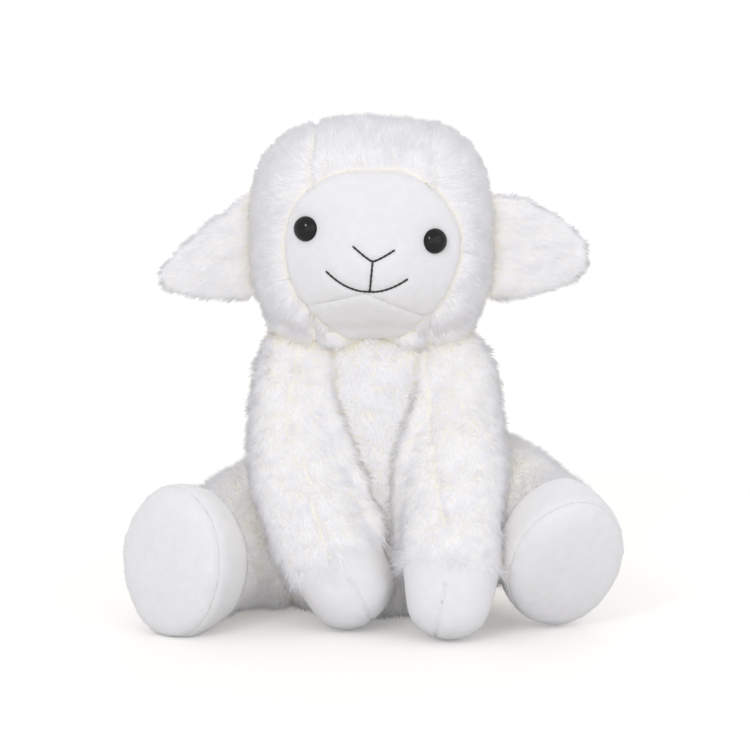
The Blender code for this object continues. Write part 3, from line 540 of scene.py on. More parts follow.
def remeshed(name: str, nodes: Sequence[str], voxel: float, smooth: int = 0) -> bpy.types.Object:
    """Makes one even, closed form of CAD nodes.

    Args:
        name: The form's name.
        nodes: The CAD nodes that it is made of.
        voxel: The size of its faces.
        smooth: How many times it is smoothed.

    Returns:
        The form.
    """
    form = from_shape(name, copied(nodes))
    step = form.modifiers.new("even", "REMESH")
    step.mode = "VOXEL"
    step.voxel_size = voxel
    apply_modifiers(form)
    if smooth:
        softened(form, smooth)
    keep_largest(form)
    return form


def swollen(form: bpy.types.Object, distance: float) -> None:
    """Moves a form's surface out along its normals."""
    put_points(form.data, points_of(form.data) + points_of(form.data, "normal") * distance)


def stuffed(form: bpy.types.Object, cap: float) -> None:
    """Blows a form up as filling does, by cloth simulation.

    Args:
        form: The form, whose mesh it changes.
        cap: How far a point may move.
    """
    before = points_of(form.data)
    step = form.modifiers.new("filled", "CLOTH")
    step.settings.quality = 5
    step.settings.use_pressure = True
    step.settings.uniform_pressure_force = FILL_PRESSURE
    step.settings.effector_weights.gravity = 0.0
    step.point_cache.frame_start = 1
    step.point_cache.frame_end = FILL_FRAMES
    scene = bpy.context.scene
    for number in range(1, FILL_FRAMES + 1):
        scene.frame_set(number)
    graph = bpy.context.evaluated_depsgraph_get()
    moves = points_of(form.evaluated_get(graph).to_mesh()) - before
    form.modifiers.clear()
    scene.frame_set(1)
    far = np.linalg.norm(moves, axis=1, keepdims=True)
    put_points(form.data, before + moves * np.minimum(1.0, cap / np.maximum(far, TINY)))


def cut_on_seams(form: bpy.types.Object, nodes: Sequence[str], bias: Sequence[float]) -> np.ndarray:
    """Cuts a form's faces along the lines where its panels meet.

    Args:
        form: The form.
        nodes: The CAD nodes of its panels.
        bias: How far each panel reaches into its neighbours.

    Returns:
        For each face, the index of its panel.
    """
    trees = [tree_of([node]) for node in nodes]

    def reached(places: np.ndarray) -> np.ndarray:
        """Distance of each place from each panel, less what the panel reaches."""
        return np.stack([nearest(tree, places) - reach for tree, reach in zip(trees, bias)])

    shape = opened(form)
    for index in range(len(nodes) - 1):
        shape.verts.ensure_lookup_table()
        spans = reached(np.array([vertex.co[:] for vertex in shape.verts]))
        lead = spans[index] - np.min(np.delete(spans, index, axis=0), axis=0)
        shape.verts.index_update()
        values = {vertex: lead[vertex.index] for vertex in shape.verts}
        crossed = [edge for edge in shape.edges if values[edge.verts[0]] * values[edge.verts[1]] < 0]
        cuts = []
        for edge, start in [(edge, edge.verts[0]) for edge in crossed]:
            near, far = values[start], values[edge.other_vert(start)]
            share = min(max(near / (near - far), LEAST_SHARE), 1 - LEAST_SHARE)
            cuts.append(bmesh.utils.edge_split(edge, start, share)[1])
        if cuts:
            bmesh.ops.connect_verts(shape, verts=cuts)
    bmesh.ops.recalc_face_normals(shape, faces=shape.faces)
    centres = np.array([face.calc_center_median()[:] for face in shape.faces])
    labels = np.argmin(reached(centres), axis=0)
    shape.faces.ensure_lookup_table()
    shape.faces.index_update()
    merge_islands(shape, labels)
    closed(form, shape)
    return labels


def merge_islands(shape: bmesh.types.BMesh, labels: np.ndarray) -> None:
    """Leaves each panel in one piece, by giving its loose islands to the panel around them.

    Args:
        shape: The form.
        labels: Each face's panel, which it changes.
    """
    def around(face: bmesh.types.BMFace) -> List[bmesh.types.BMFace]:
        """The faces that share an edge with a face."""
        return [other for edge in face.edges for other in edge.link_faces]

    found = islands(
        shape.faces, lambda face: [other for other in around(face) if labels[other.index] == labels[face.index]]
    )
    kept = set()
    for island in sorted(found, key=len, reverse=True):
        own = labels[island[0].index]
        if own not in kept:
            kept.add(own)
            continue
        met = [labels[other.index] for face in island for other in around(face) if labels[other.index] != own]
        for face in island:
            labels[face.index] = max(set(met), key=met.count)


def cut_along(form: bpy.types.Object, route: Route) -> None:
    """Cuts a form's front faces along a line drawn from the front, and divides those beside it.

    Args:
        form: The form.
        route: The line's corners.
    """
    shape = opened(form)
    for (x0, z0), (x1, z1) in zip(route, route[1:]):
        along = Vector((x1 - x0, 0.0, z1 - z0))
        across = Vector((-along.z, 0.0, along.x)).normalized()
        start = Vector((x0, 0.0, z0))

        def beside(face: bmesh.types.BMFace, reach: float) -> bool:
            """Whether a face of the front lies beside the line."""
            place = face.calc_center_median() - start
            share = place.dot(along) / along.length_squared
            return abs(place.dot(across)) < reach and -0.02 < share < 1.02 and face.normal.y < FRONT_FACING

        near = {edge for face in shape.faces if beside(face, 4 * MM) for edge in face.edges}
        bmesh.ops.subdivide_edges(shape, edges=list(near), cuts=1, use_grid_fill=True)
        faces = [face for face in shape.faces if beside(face, 3 * MM)]
        geom = list({part for face in faces for part in (*face.verts, *face.edges, face)})
        bmesh.ops.bisect_plane(shape, geom=geom, plane_co=start, plane_no=across)
    closed(form, shape)


def seam_lines(form: bpy.types.Object, labels: np.ndarray) -> Dict[Tuple[int, int], List[Vector]]:
    """Finds the seams of a form.

    Args:
        form: The form.
        labels: Each face's panel.

    Returns:
        For each pair of panels that meet, points along their seam.
    """
    shape = opened(form)
    shape.faces.index_update()
    lines: Dict[Tuple[int, int], List[Vector]] = {}
    for edge in shape.edges:
        met = sorted({int(labels[face.index]) for face in edge.link_faces})
        if len(met) == 2:
            start, end = edge.verts[0].co, edge.verts[1].co
            count = max(int((end - start).length / LINE_STEP), 1)
            lines.setdefault((met[0], met[1]), []).extend(start.lerp(end, i / count) for i in range(count + 1))
    shape.free()
    return lines


def pressed(form: bpy.types.Object, line: Sequence[Vector], depth: float, reach: float) -> None:
    """Presses a groove into a form.

    Args:
        form: The form.
        line: Points along the groove.
        depth: Its depth.
        reach: How far to each side it is felt.
    """
    if not line:
        return
    tree = kd_of(line)
    places, normals = points_of(form.data), points_of(form.data, "normal")
    spans = np.array([tree.find(Vector(place))[2] for place in places])
    fall = np.exp(-((spans / reach) ** 2))[:, None]
    put_points(form.data, places - normals * fall * depth)


def onto(tree: BVHTree, route: Route, spacing: float = LINE_STEP) -> List[Vector]:
    """Lays a line drawn from the front onto a surface.

    Args:
        tree: The surface.
        route: The line's corners.
        spacing: Distance between the points.

    Returns:
        Points along the line on the surface.
    """
    laid = []
    for (x0, z0), (x1, z1) in zip(route, route[1:]):
        count = max(int(math.hypot(x1 - x0, z1 - z0) / spacing), 1)
        for i in range(count + 1):
            x, z = x0 + (x1 - x0) * i / count, z0 + (z1 - z0) * i / count
            hit = tree.ray_cast(Vector((x, -1.0, z)), Vector((0.0, 1.0, 0.0)))[0]
            if hit:
                laid.append(hit)
    return laid


# Growing pile

def strand_template(kind: Strand) -> Tuple[np.ndarray, np.ndarray]:
    """One hair as a thin three-sided cone of unit length.

    Args:
        kind: Straight or bent.

    Returns:
        Its vertices and its triangles.
    """
    shape = bmesh.new()
    bmesh.ops.create_cone(shape, cap_ends=True, segments=3, radius1=0.5, radius2=0.0, depth=1.0)
    bmesh.ops.translate(shape, verts=shape.verts, vec=(0.0, 0.0, 0.5))
    if kind is Strand.BENT:
        geom = shape.verts[:] + shape.edges[:] + shape.faces[:]
        bmesh.ops.bisect_plane(shape, geom=geom, plane_co=(0, 0, 0.5), plane_no=(0, 0, 1))
        for vertex in shape.verts:
            if 0.4 < vertex.co.z < 0.6:
                vertex.co.x *= BELLY
                vertex.co.y *= BELLY
    bmesh.ops.triangulate(shape, faces=shape.faces)
    bmesh.ops.recalc_face_normals(shape, faces=shape.faces)
    shape.verts.index_update()
    places = np.array([vertex.co[:] for vertex in shape.verts])
    faces = np.array([[vertex.index for vertex in face.verts] for face in shape.faces])
    shape.free()
    return places, faces


@dataclass(frozen=True)
class Lay:
    """How the hairs lie along a seam.

    Args:
        turned: How far they turn away from it.
        reach: How far from it they do so.
        trim: How much shorter they are close to it.
        bare: How far from it few of them grow.
        cream: How many of them show the cream of the backing.
    """

    turned: float
    reach: float
    trim: float
    bare: float
    cream: float


PARTED = Lay(turned=0.8, reach=2.6 * MM, trim=0.5, bare=0.3 * MM, cream=0.35)
HEMMED = Lay(turned=0.4, reach=1.6 * MM, trim=0.25, bare=0.0, cream=0.05)
TRIMMED = Lay(turned=0.0, reach=1.0 * MM, trim=1.0, bare=0.7 * MM, cream=0.0)


@dataclass
class Ground:
    """What the pile grows on: a panel's triangles and what is known at each vertex.

    Args:
        places: The vertices.
        normals: Their normals.
        flow: The way the pile is combed there.
        length: How long it is there, as a share.
        share: How dense it is there, as a share.
        depth: How deep it lies against another part, from 0 to 1; it sets how much painted shade the hairs there get.
        triangles: The panel's triangles.
        seams: The seams that its hairs feel, and how they lie there.
    """

    places: np.ndarray
    normals: np.ndarray
    flow: np.ndarray
    length: np.ndarray
    share: np.ndarray
    depth: np.ndarray
    triangles: np.ndarray
    seams: Tuple[Tuple[Seam, Lay], ...]

    def weights(self) -> np.ndarray:
        """Area of each triangle, as far as hairs grow on it."""
        corners = self.places[self.triangles]
        areas = np.linalg.norm(np.cross(corners[:, 1] - corners[:, 0], corners[:, 2] - corners[:, 0]), axis=1) / 2
        return areas * self.share[self.triangles].mean(axis=1)


@dataclass
class Hairs:
    """The hairs of one panel, with a row in each array for each of them.

    Args:
        pile: The kind of pile.
        rng: Where its random draws come from.
        width: Width of a hair at its root.
        roots: Where they grow.
        normals: The cloth's normals there.
        flow: The way they are combed.
        scale: How long they are, as a share.
        deep: How deep they lie against another part, which sets how much painted shade they get.
        creamy: How many of them are creamy.
        keep: Which of them grow at all.
    """

    pile: Pile
    rng: np.random.Generator
    width: float
    roots: np.ndarray
    normals: np.ndarray
    flow: np.ndarray
    scale: np.ndarray
    deep: np.ndarray
    creamy: np.ndarray
    keep: np.ndarray
    first: np.ndarray = field(init=False, default=None)

    def feel(self, seam: Seam, lay: Lay) -> None:
        """Turns, trims and thins them along a seam.

        Args:
            seam: The seam.
            lay: How hairs lie there.
        """
        away, span, strength = seam.felt(self.roots)
        near = strength * np.exp(-((span / lay.reach) ** 2))
        self.flow = self.flow * (1 - 0.8 * lay.turned * near)[:, None] + away * (lay.turned * near)[:, None]
        close = strength * np.exp(-((span / (0.55 * lay.reach)) ** 2))
        self.scale = self.scale * (1 - lay.trim * close)
        self.creamy = np.maximum(self.creamy, lay.cream * close)
        if lay.bare:
            thinned = BARE_SHARE * strength * np.exp(-((span / lay.bare) ** 2))
            self.keep &= self.rng.random(len(self.roots)) > thinned

    def combed(self) -> Tuple[np.ndarray, np.ndarray]:
        """Combs them, with the drifts and tufts of real pile.

        Returns:
            Which way each lies along the cloth, and its lean from upright.
        """
        pile, roots, normals = self.pile, self.roots, self.normals
        ways = unit(tangent(self.flow, normals)) * np.minimum(np.linalg.norm(self.flow, axis=1, keepdims=True), 1.0)
        ways = ways + tangent(swirl(roots, DRIFT_SIZE, SEED + 1), normals) * pile.drift
        ways = ways + tangent(swirl(roots, TUFT_SIZE, SEED + 2), normals) * pile.tuft
        ways = ways + tangent(self.rng.normal(size=roots.shape), normals) * pile.loose
        strength = np.linalg.norm(ways, axis=1)
        lean = np.radians(pile.lean) * np.clip(0.35 + 0.65 * strength, 0.4, 1.25)
        lean = lean + self.rng.normal(size=len(roots)) * 0.12 + swirl(roots, LEAN_SIZE, SEED + 3)[:, 0] * 0.16
        return unit(ways), np.clip(lean, LEAST_LEAN, MOST_LEAN)[:, None]

    def drawn(self, template: np.ndarray) -> np.ndarray:
        """Draws each hair that grows, curving from its root to its tip.

        Args:
            template: The vertices of one hair.

        Returns:
            The vertices of all of them.
        """
        ways, lean = self.combed()
        tip_lean = np.minimum(lean * TIP_LEAN, FLATTEST)
        first = self.normals * np.cos(lean * ROOT_LEAN) + ways * np.sin(lean * ROOT_LEAN)
        last = self.normals * np.cos(tip_lean) + ways * np.sin(tip_lean)
        lengths = (self.pile.length * self.scale * self.rng.uniform(0.72, 1.12, len(lean)))[:, None]
        across = unit(np.cross(first, self.normals + self.rng.normal(size=self.roots.shape) * 0.35))
        aside = np.cross(first, across) * FLATNESS
        keep = self.keep
        self.roots, self.normals, self.deep, self.creamy = (
            values[keep] for values in (self.roots, self.normals, self.deep, self.creamy)
        )
        self.first, last, across, aside, lengths = (values[keep] for values in (first, last, across, aside, lengths))
        rise = template[:, 2][None, :, None]
        middle = self.first[:, None] * (rise - rise**2 / 2) + last[:, None] * (rise**2 / 2)
        widths = (self.width * self.rng.uniform(0.75, 1.2, len(self.roots)))[:, None, None]
        section = across[:, None] * template[:, 0][None, :, None] + aside[:, None] * template[:, 1][None, :, None]
        sunk = self.roots - self.normals * ROOT_DEPTH
        verts = sunk[:, None] + middle * lengths[:, None] + section * widths
        verts[:, :, 2] = np.maximum(verts[:, :, 2], FLOOR_GAP)
        return verts.reshape(-1, 3)

    def shades(self) -> np.ndarray:
        """Draws which of the pile's finishes each hair has, with painted shade on hairs deep against another part."""
        count = len(self.roots)
        tone = swirl(self.roots, TONE_SIZE, SEED + 4)[:, 0] * 0.6 + self.rng.normal(size=count) * 0.25
        which = np.where(tone < COOL_BELOW, 1, 0)
        which = np.where(self.rng.random(count) < self.creamy, 2, which)
        # Painted shade: hairs lying deep against another part take the darker, warmer finish.
        return np.where(self.rng.random(count) < self.deep, 3, which).astype(np.int32)


def rooted(ground: Ground, pile: Pile, rng: np.random.Generator, faces: int) -> Optional[Hairs]:
    """Draws where the hairs of a panel grow.

    Args:
        ground: What they grow on.
        pile: The kind of pile.
        rng: Where its random draws come from.
        faces: How many faces a hair has.

    Returns:
        The hairs, or nothing where none grows.
    """
    weights = ground.weights()
    density, width = pile.density, pile.width
    count = int(weights.sum() * 1e4 * density)
    if count < 1:
        return None
    most = MOST_FACES // faces
    if count > most:
        count, width = most, width * math.sqrt(count / most)
    picks = rng.choice(len(weights), count, p=weights / weights.sum())
    a, b = np.sqrt(rng.random(count)), rng.random(count)
    bary = np.stack([1 - a, a * (1 - b), a * b], axis=1)[:, :, None]
    chosen = ground.triangles[picks]
    roots, normals, flow = (
        (values[chosen] * bary).sum(axis=1) for values in (ground.places, ground.normals, ground.flow)
    )
    scale, deep = ((values[chosen] * bary[:, :, 0]).sum(axis=1) for values in (ground.length, ground.depth))
    return Hairs(
        pile, rng, width, roots, unit(normals), flow, scale, deep, np.zeros(count), np.ones(count, dtype=bool)
    )


def grown(name: str, ground: Ground, pile: Pile, seed: int) -> Optional[bpy.types.Object]:
    """Grows the hairs of one panel as a single mesh.

    Args:
        name: The piece's name.
        ground: What they grow on.
        pile: The kind of pile.
        seed: Where the random draws start.

    Returns:
        The piece, or nothing where no hair grows.
    """
    template, faces = strand_template(pile.strand)
    hairs = rooted(ground, pile, np.random.default_rng(seed), len(faces))
    if not hairs:
        return None
    for seam, lay in ground.seams:
        hairs.feel(seam, lay)
    verts = hairs.drawn(template)
    count = len(hairs.roots)
    index = (np.arange(count)[:, None, None] * len(template) + faces[None]).reshape(-1, 3)
    mesh = bpy.data.meshes.new(name)
    mesh.vertices.add(len(verts))
    mesh.vertices.foreach_set("co", verts.reshape(-1))
    mesh.loops.add(index.size)
    mesh.loops.foreach_set("vertex_index", index.reshape(-1).astype(np.int32))
    mesh.polygons.add(len(index))
    mesh.polygons.foreach_set("loop_start", np.arange(0, index.size, 3, dtype=np.int32))
    for finish in pile.finishes:
        mesh.materials.append(finish.material())
    mesh.polygons.foreach_set("material_index", np.repeat(hairs.shades(), len(faces)))
    mesh.update(calc_edges=True)
    mesh.shade_smooth()
    facing = hairs.normals + hairs.first * 0.2 + hairs.rng.normal(size=hairs.roots.shape) * 0.05
    facing = np.repeat(facing, len(template), axis=0)
    mesh.normals_split_custom_set_from_vertices(unit(points_of(mesh, "normal") + facing * pile.evened))
    hair = link(name, mesh)
    # Fine fibre lets light through, so the hairs don't darken each other; the cloth under them does.
    hair.visible_shadow = False
    hair.visible_diffuse = False
    return hair


# Stuffed parts

@dataclass
class Stuffed:
    """A stuffed part of the toy: one form, its cloth panels, their pile and its filling.

    Args:
        name: The part's name.
        body: The moving body that it rides on.
        source: CAD nodes whose shape the form takes.
        panels: Its cloth panels.
        filling: The CAD node of its filling, if it has one.
        pile_room: How far the cloth of a furry panel lies inside the source.
        nap_room: The same for a smooth panel.
        puff: How far the filling may push the cloth.
        voxel: Size of the form's faces before they are divided.
        seam_depth: How far its seams pull in.
        hem: How the pile lies along smooth cloth, or along the rim where two furry panels meet.
        parting: How strongly the pile parts along its seams.
        smooth_bias: How far smooth panels reach into the seams of furry ones.
        meets: CAD nodes that it is sewn against, where its form isn't drawn in.
        creases: Seam lines that part the pile, drawn from the front.
        grooves: Seam lines in smooth cloth, drawn from the front.
    """

    name: str
    body: str
    source: Tuple[str, ...]
    panels: Tuple[Panel, ...]
    filling: Optional[str] = None
    pile_room: float = 4.4 * MM
    nap_room: float = 0.9 * MM
    puff: float = 0.6 * MM
    voxel: float = 3.0 * MM
    seam_depth: float = 1.0 * MM
    hem: Hem = Hem.COMBED_BACK
    parting: float = 1.0
    smooth_bias: float = 0.0
    meets: Tuple[str, ...] = ()
    creases: Tuple[Route, ...] = ()
    grooves: Tuple[Route, ...] = ()
    form: bpy.types.Object = field(init=False, default=None)
    labels: np.ndarray = field(init=False, default=None)
    partings: Seam = field(init=False, default_factory=Seam)
    hems: Seam = field(init=False, default_factory=Seam)
    trims: Seam = field(init=False, default_factory=Seam)
    surface: BVHTree = field(init=False, default=None)

    def shape(self) -> None:
        """Makes the form: even, drawn in, stuffed, divided, cut on its seams and pressed in there."""
        self.form = remeshed(self.name + "_form", self.source, self.voxel)
        outer = surface_of(self.form)
        softened(self.form, 16)
        room = self.draw_in()
        self.refit(outer, room)
        self.settle()
        stuffed(self.form, self.puff)
        lumps = swirl(points_of(self.form.data), LUMP_SIZE, SEED + len(self.name))[:, :1]
        swollen(self.form, lumps * LUMP_RISE)
        step = self.form.modifiers.new("divided", "SUBSURF")
        step.levels = step.render_levels = 1
        apply_modifiers(self.form)
        for route in self.grooves:
            cut_along(self.form, route)
        bias = [0.0 if panel.furry else self.smooth_bias for panel in self.panels]
        self.labels = cut_on_seams(self.form, [panel.node for panel in self.panels], bias)
        for line in seam_lines(self.form, self.labels).values():
            pressed(self.form, line, self.seam_depth, SEAM_REACH)
        self.surface = surface_of(self.form)
        for route in self.creases:
            pressed(self.form, onto(self.surface, route), CREASE_DEPTH, CREASE_REACH)
        for route in self.grooves:
            pressed(self.form, onto(self.surface, route), GROOVE_DEPTH, GROOVE_REACH)
        self.press_features()
        places = points_of(self.form.data)
        places[:, 2] = np.maximum(places[:, 2], LOWEST_CLOTH)
        put_points(self.form.data, places)
        self.surface = surface_of(self.form)
        self.sort_seams()

    def sort_seams(self) -> None:
        """Sorts the seams by how the pile lies there."""
        for (a, b), line in seam_lines(self.form, self.labels).items():
            first, second = self.panels[a], self.panels[b]
            if first.furry and second.furry:
                if self.hem is not Hem.FRINGED:
                    self.partings.add(line, self.parting * first.parting * second.parting)
            elif first.furry or second.furry:
                self.hems.add(line)
            else:
                self.trims.add(line)
        for route in self.creases:
            self.partings.add(onto(self.surface, route), CREASE_PARTING)
        for route in self.grooves:
            self.trims.add(onto(self.surface, route))

    def draw_in(self) -> np.ndarray:
        """Moves the form's surface in by the room that each panel's pile takes, in even steps.

        Returns:
            The room at each vertex.
        """
        furry, bare = ([tree_of([p.node]) for p in self.panels if p.furry is kind] for kind in (True, False))
        places = points_of(self.form.data)
        share = np.ones(len(places))
        if furry and bare:
            near, far = (np.min([nearest(tree, places) for tree in trees], axis=0) for trees in (furry, bare))
            share = np.clip(0.5 + (far - near) / (5 * MM), 0, 1)
        room = share * self.pile_room + (1 - share) * self.nap_room
        if self.meets:
            close = np.clip(1.4 - nearest(tree_of(self.meets), places) / (7 * MM), 0, 1)
            room = room * (1 - close) - close * MEETING_REACH
        for _ in range(DRAW_STEPS):
            swollen(self.form, -room[:, None] / DRAW_STEPS)
            softened(self.form, 2)
        return room

    def refit(self, outer: BVHTree, room: np.ndarray) -> None:
        """Gives back what the smoothing took, so that the form keeps its distance from the outside.

        Args:
            outer: The outside of the source.
            room: The distance that each vertex should keep from it.
        """
        mesh = self.form.data
        places = points_of(mesh)
        offset = np.zeros(len(places))
        for i, place in enumerate(places):
            spot, facing, _, span = outer.find_nearest(Vector(place))
            inside = (Vector(place) - spot).dot(facing) < 0
            offset[i] = -span if inside else span
        move = np.clip(-room - offset, -2 * MM, 4 * MM)
        pairs = np.array([edge.vertices[:] for edge in mesh.edges])
        for _ in range(6):
            total, count = np.zeros(len(places)), np.zeros(len(places))
            for a, b in ((0, 1), (1, 0)):
                np.add.at(total, pairs[:, a], move[pairs[:, b]])
                np.add.at(count, pairs[:, a], 1)
            move = 0.5 * move + 0.5 * total / np.maximum(count, 1)
        swollen(self.form, move[:, None])

    def settle(self) -> None:
        """Shapes the form further, where a part needs it."""

    def press_features(self) -> None:
        """Presses in what only this part has."""

    def dress(self, others: Sequence["Stuffed"]) -> None:
        """Makes the cloth panels, their pile and the filling.

        Args:
            others: The parts that may lie against this one.
        """
        for number, panel in enumerate(self.panels):
            cloth = self.cloth(number, panel)
            ground = self.ground(cloth, panel, others)
            self.turned_in(cloth)
            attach(cloth, self.body)
            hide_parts(panel.node)
            hair = grown(f"{panel.node}_pile", ground, panel.pile, SEED + 10 * len(self.name) + number)
            if hair:
                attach(hair, self.body)
                log.info("%s: %d faces of pile", panel.node, len(hair.data.polygons))
        if self.filling:
            piece = remeshed(f"{self.name}_filling", [self.filling], 3.5 * MM, 2)
            finish_piece(piece, FIBRE, self.body, self.filling)
        bpy.data.objects.remove(self.form, do_unlink=True)

    def cloth(self, number: int, panel: Panel) -> bpy.types.Object:
        """Takes one panel's faces out of the form."""
        shape = opened(self.form)
        other = [face for face, label in zip(shape.faces, self.labels) if label != number]
        bmesh.ops.delete(shape, geom=other, context="FACES")
        piece = from_shape(f"{panel.node}_cloth", shape)
        piece.data.materials.append((BACKING if panel.furry else VELBOA).material())
        piece.data.shade_smooth()
        return piece

    def turned_in(self, cloth: bpy.types.Object) -> None:
        """Turns the cloth's raw edge in along its seams, as a seam allowance."""
        shape = opened(cloth)
        rim = [edge for edge in shape.edges if edge.is_boundary]
        if rim:
            normals = {vertex: vertex.normal.copy() for edge in rim for vertex in edge.verts}
            made = bmesh.ops.extrude_edge_only(shape, edges=rim)["geom"]
            for vertex in made:
                if isinstance(vertex, bmesh.types.BMVert):
                    near = min(normals, key=lambda old: (old.co - vertex.co).length_squared)
                    vertex.co -= normals[near] * SEAM_ALLOWANCE
        closed(cloth, shape)
        cloth.data.shade_smooth()

    def ground(self, cloth: bpy.types.Object, panel: Panel, others: Sequence["Stuffed"]) -> Ground:
        """Works out how the pile grows at each vertex of a panel.

        Args:
            cloth: The panel's cloth.
            panel: The panel.
            others: The parts that may lie against this one.

        Returns:
            What the pile grows on.
        """
        mesh = cloth.data
        places = points_of(mesh)
        normals = self.even_normals(places)
        flow = tangent(panel.flow.at(places), normals)
        strength = np.linalg.norm(flow, axis=1, keepdims=True)
        flow = unit(flow) * np.minimum(strength * 2, 1.0)
        length, share, depth = np.ones(len(places)), np.ones(len(places)), np.zeros(len(places))
        if panel.furry and self.hem is Hem.HANGING:
            near = np.exp(-((self.hems.felt(places)[1] / HANGING_REACH) ** 2))
            flow *= (1 - 0.35 * near)[:, None]
            length *= 1 + 0.8 * near
        if self.hem is Hem.FRINGED:
            rim = np.exp(-((places[:, 1] - places[:, 1].mean()) / FRINGE_REACH) ** 2)
            edge = np.clip(1 - np.abs(normals[:, 1]) * 1.6, 0, 1) * rim
            flow *= (1 - 0.5 * edge)[:, None]
            length *= 1 + 0.3 * edge
        # Against another part the pile is thinned and shortened, and marked for painted shade that fades with
        # distance.
        for other in others:
            if other is self:
                continue
            for i, (place, normal) in enumerate(zip(places, normals)):
                probe = Vector(place + normal * 1.0 * MM)
                spot, facing, _, span = other.surface.find_nearest(probe, 9 * MM)
                if spot is None:
                    continue
                if (probe - spot).dot(facing) < 0:
                    share[i] = min(share[i], 0.2)
                    length[i] = min(length[i], 0.7)
                    depth[i] = 1.0
                else:
                    depth[i] = max(depth[i], 0.8 * math.exp(-((span / PAINTED_SHADE_REACH) ** 2)))
        mesh.calc_loop_triangles()
        triangles = np.array([tri.vertices[:] for tri in mesh.loop_triangles])
        combed_back = panel.furry and self.hem is Hem.COMBED_BACK
        seams = (
            (self.partings if panel.furry else Seam(), PARTED), (self.hems if combed_back else Seam(), HEMMED),
            (Seam() if panel.furry else self.trims, TRIMMED),
        )
        return Ground(places, normals, flow, length, share, depth, triangles, seams)

    def even_normals(self, places: np.ndarray) -> np.ndarray:
        """Reads the form's normals around each place, so that a sliver of a face can't upset them."""
        known = points_of(self.form.data, "normal")
        tree = kd_of([Vector(place) for place in points_of(self.form.data)])
        found = [np.mean([known[index] for _, index, _ in tree.find_n(Vector(place), 9)], axis=0) for place in places]
        return unit(np.array(found))


@dataclass
class Ear(Stuffed):
    """An ear, whose root reaches into the pile of the head.

    Args:
        way: -1 for the left ear, 1 for the right.
        root_reach: How far its root goes in.
        root_length: How much of the ear is drawn out for that.
    """

    way: int = 1
    root_reach: float = 7.0 * MM
    root_length: float = 14.0 * MM

    def settle(self) -> None:
        """Draws the root out into the head."""
        places = points_of(self.form.data)
        along = places[:, 0] * self.way
        share = np.clip(1 - (along - along.min()) / self.root_length, 0, 1)
        places[:, 0] -= self.way * share * self.root_reach
        put_points(self.form.data, places)


@dataclass
class FaceSizes:
    """Where the features of the face are, from the front. The face sits slightly askew.

    Args:
        tilt: How far the face leans to one side.
        shift: How far it sits to one side.
        eye_height: Height of the eyes.
        eye_spacing: Distance between their middles.
        eye_radius: Radius of an eye.
        eye_dome: Height of its dome.
        eye_rim: Height of the straight rim under the dome.
        shank_radius: Radius of its shank, where that meets the dome.
        shank_length: How much of the shank shows behind the dome.
        eye_sink: How deep the cloth is drawn in round an eye.
        eye_sink_reach: How far round it.
        nose_half: Half the width of the nose.
        nose_rise: How far its arms rise.
        nose_height: Height of its tip.
        nose_shift: How far the tip sits to one side.
        mouth_half: Half the width of the mouth.
        mouth_rise: How far its corners rise.
        mouth_height: Height of its middle.
        thread: Half the width of the embroidery.
        thread_sink: How deep it is drawn into the cloth.
        thread_sink_reach: How far to each side of it.
    """

    tilt: float = math.radians(-5.3)
    shift: float = -2.2 * MM
    eye_height: float = 189.7 * MM
    eye_spacing: float = 60.2 * MM
    eye_radius: float = 6.0 * MM
    eye_dome: float = 4.6 * MM
    eye_rim: float = 0.5 * MM
    shank_radius: float = 2.0 * MM
    shank_length: float = 3.0 * MM
    eye_sink: float = 1.6 * MM
    eye_sink_reach: float = 7.0 * MM
    nose_half: float = 9.8 * MM
    nose_rise: float = 6.2 * MM
    nose_height: float = 178.8 * MM
    nose_shift: float = 2.1 * MM
    mouth_half: float = 19.2 * MM
    mouth_rise: float = 7.7 * MM
    mouth_height: float = 164.0 * MM
    thread: float = 0.54 * MM
    thread_sink: float = 0.7 * MM
    thread_sink_reach: float = 2.2 * MM

    def spot(self, across: float, height: float) -> Tuple[float, float]:
        """X and Z of a place on the face."""
        rise = height - self.eye_height
        x = self.shift + across * math.cos(self.tilt) - rise * math.sin(self.tilt)
        return x, self.eye_height + across * math.sin(self.tilt) + rise * math.cos(self.tilt)

    def eye(self, side: int) -> Tuple[float, float]:
        """X and Z of an eye: -1 for the left one, 1 for the right."""
        return self.spot(side * self.eye_spacing / 2, self.eye_height)

    def nose(self) -> Route:
        """The nose: two short arms that rise from its tip."""
        shares = [i / 8 - 1 for i in range(17)]
        rise = self.nose_rise
        return [
            self.spot(self.nose_shift + s * self.nose_half, self.nose_height + rise * abs(s) ** 1.15) for s in shares
        ]

    def mouth(self) -> Route:
        """The mouth: a wide smile."""
        shares = [i / 12 - 1 for i in range(25)]
        return [self.spot(s * self.mouth_half, self.mouth_height + self.mouth_rise * s * s) for s in shares]

    def lip(self) -> Route:
        """The line from nose to mouth."""
        return [self.spot(self.nose_shift, self.nose_height), self.spot(self.nose_shift, self.mouth_height)]


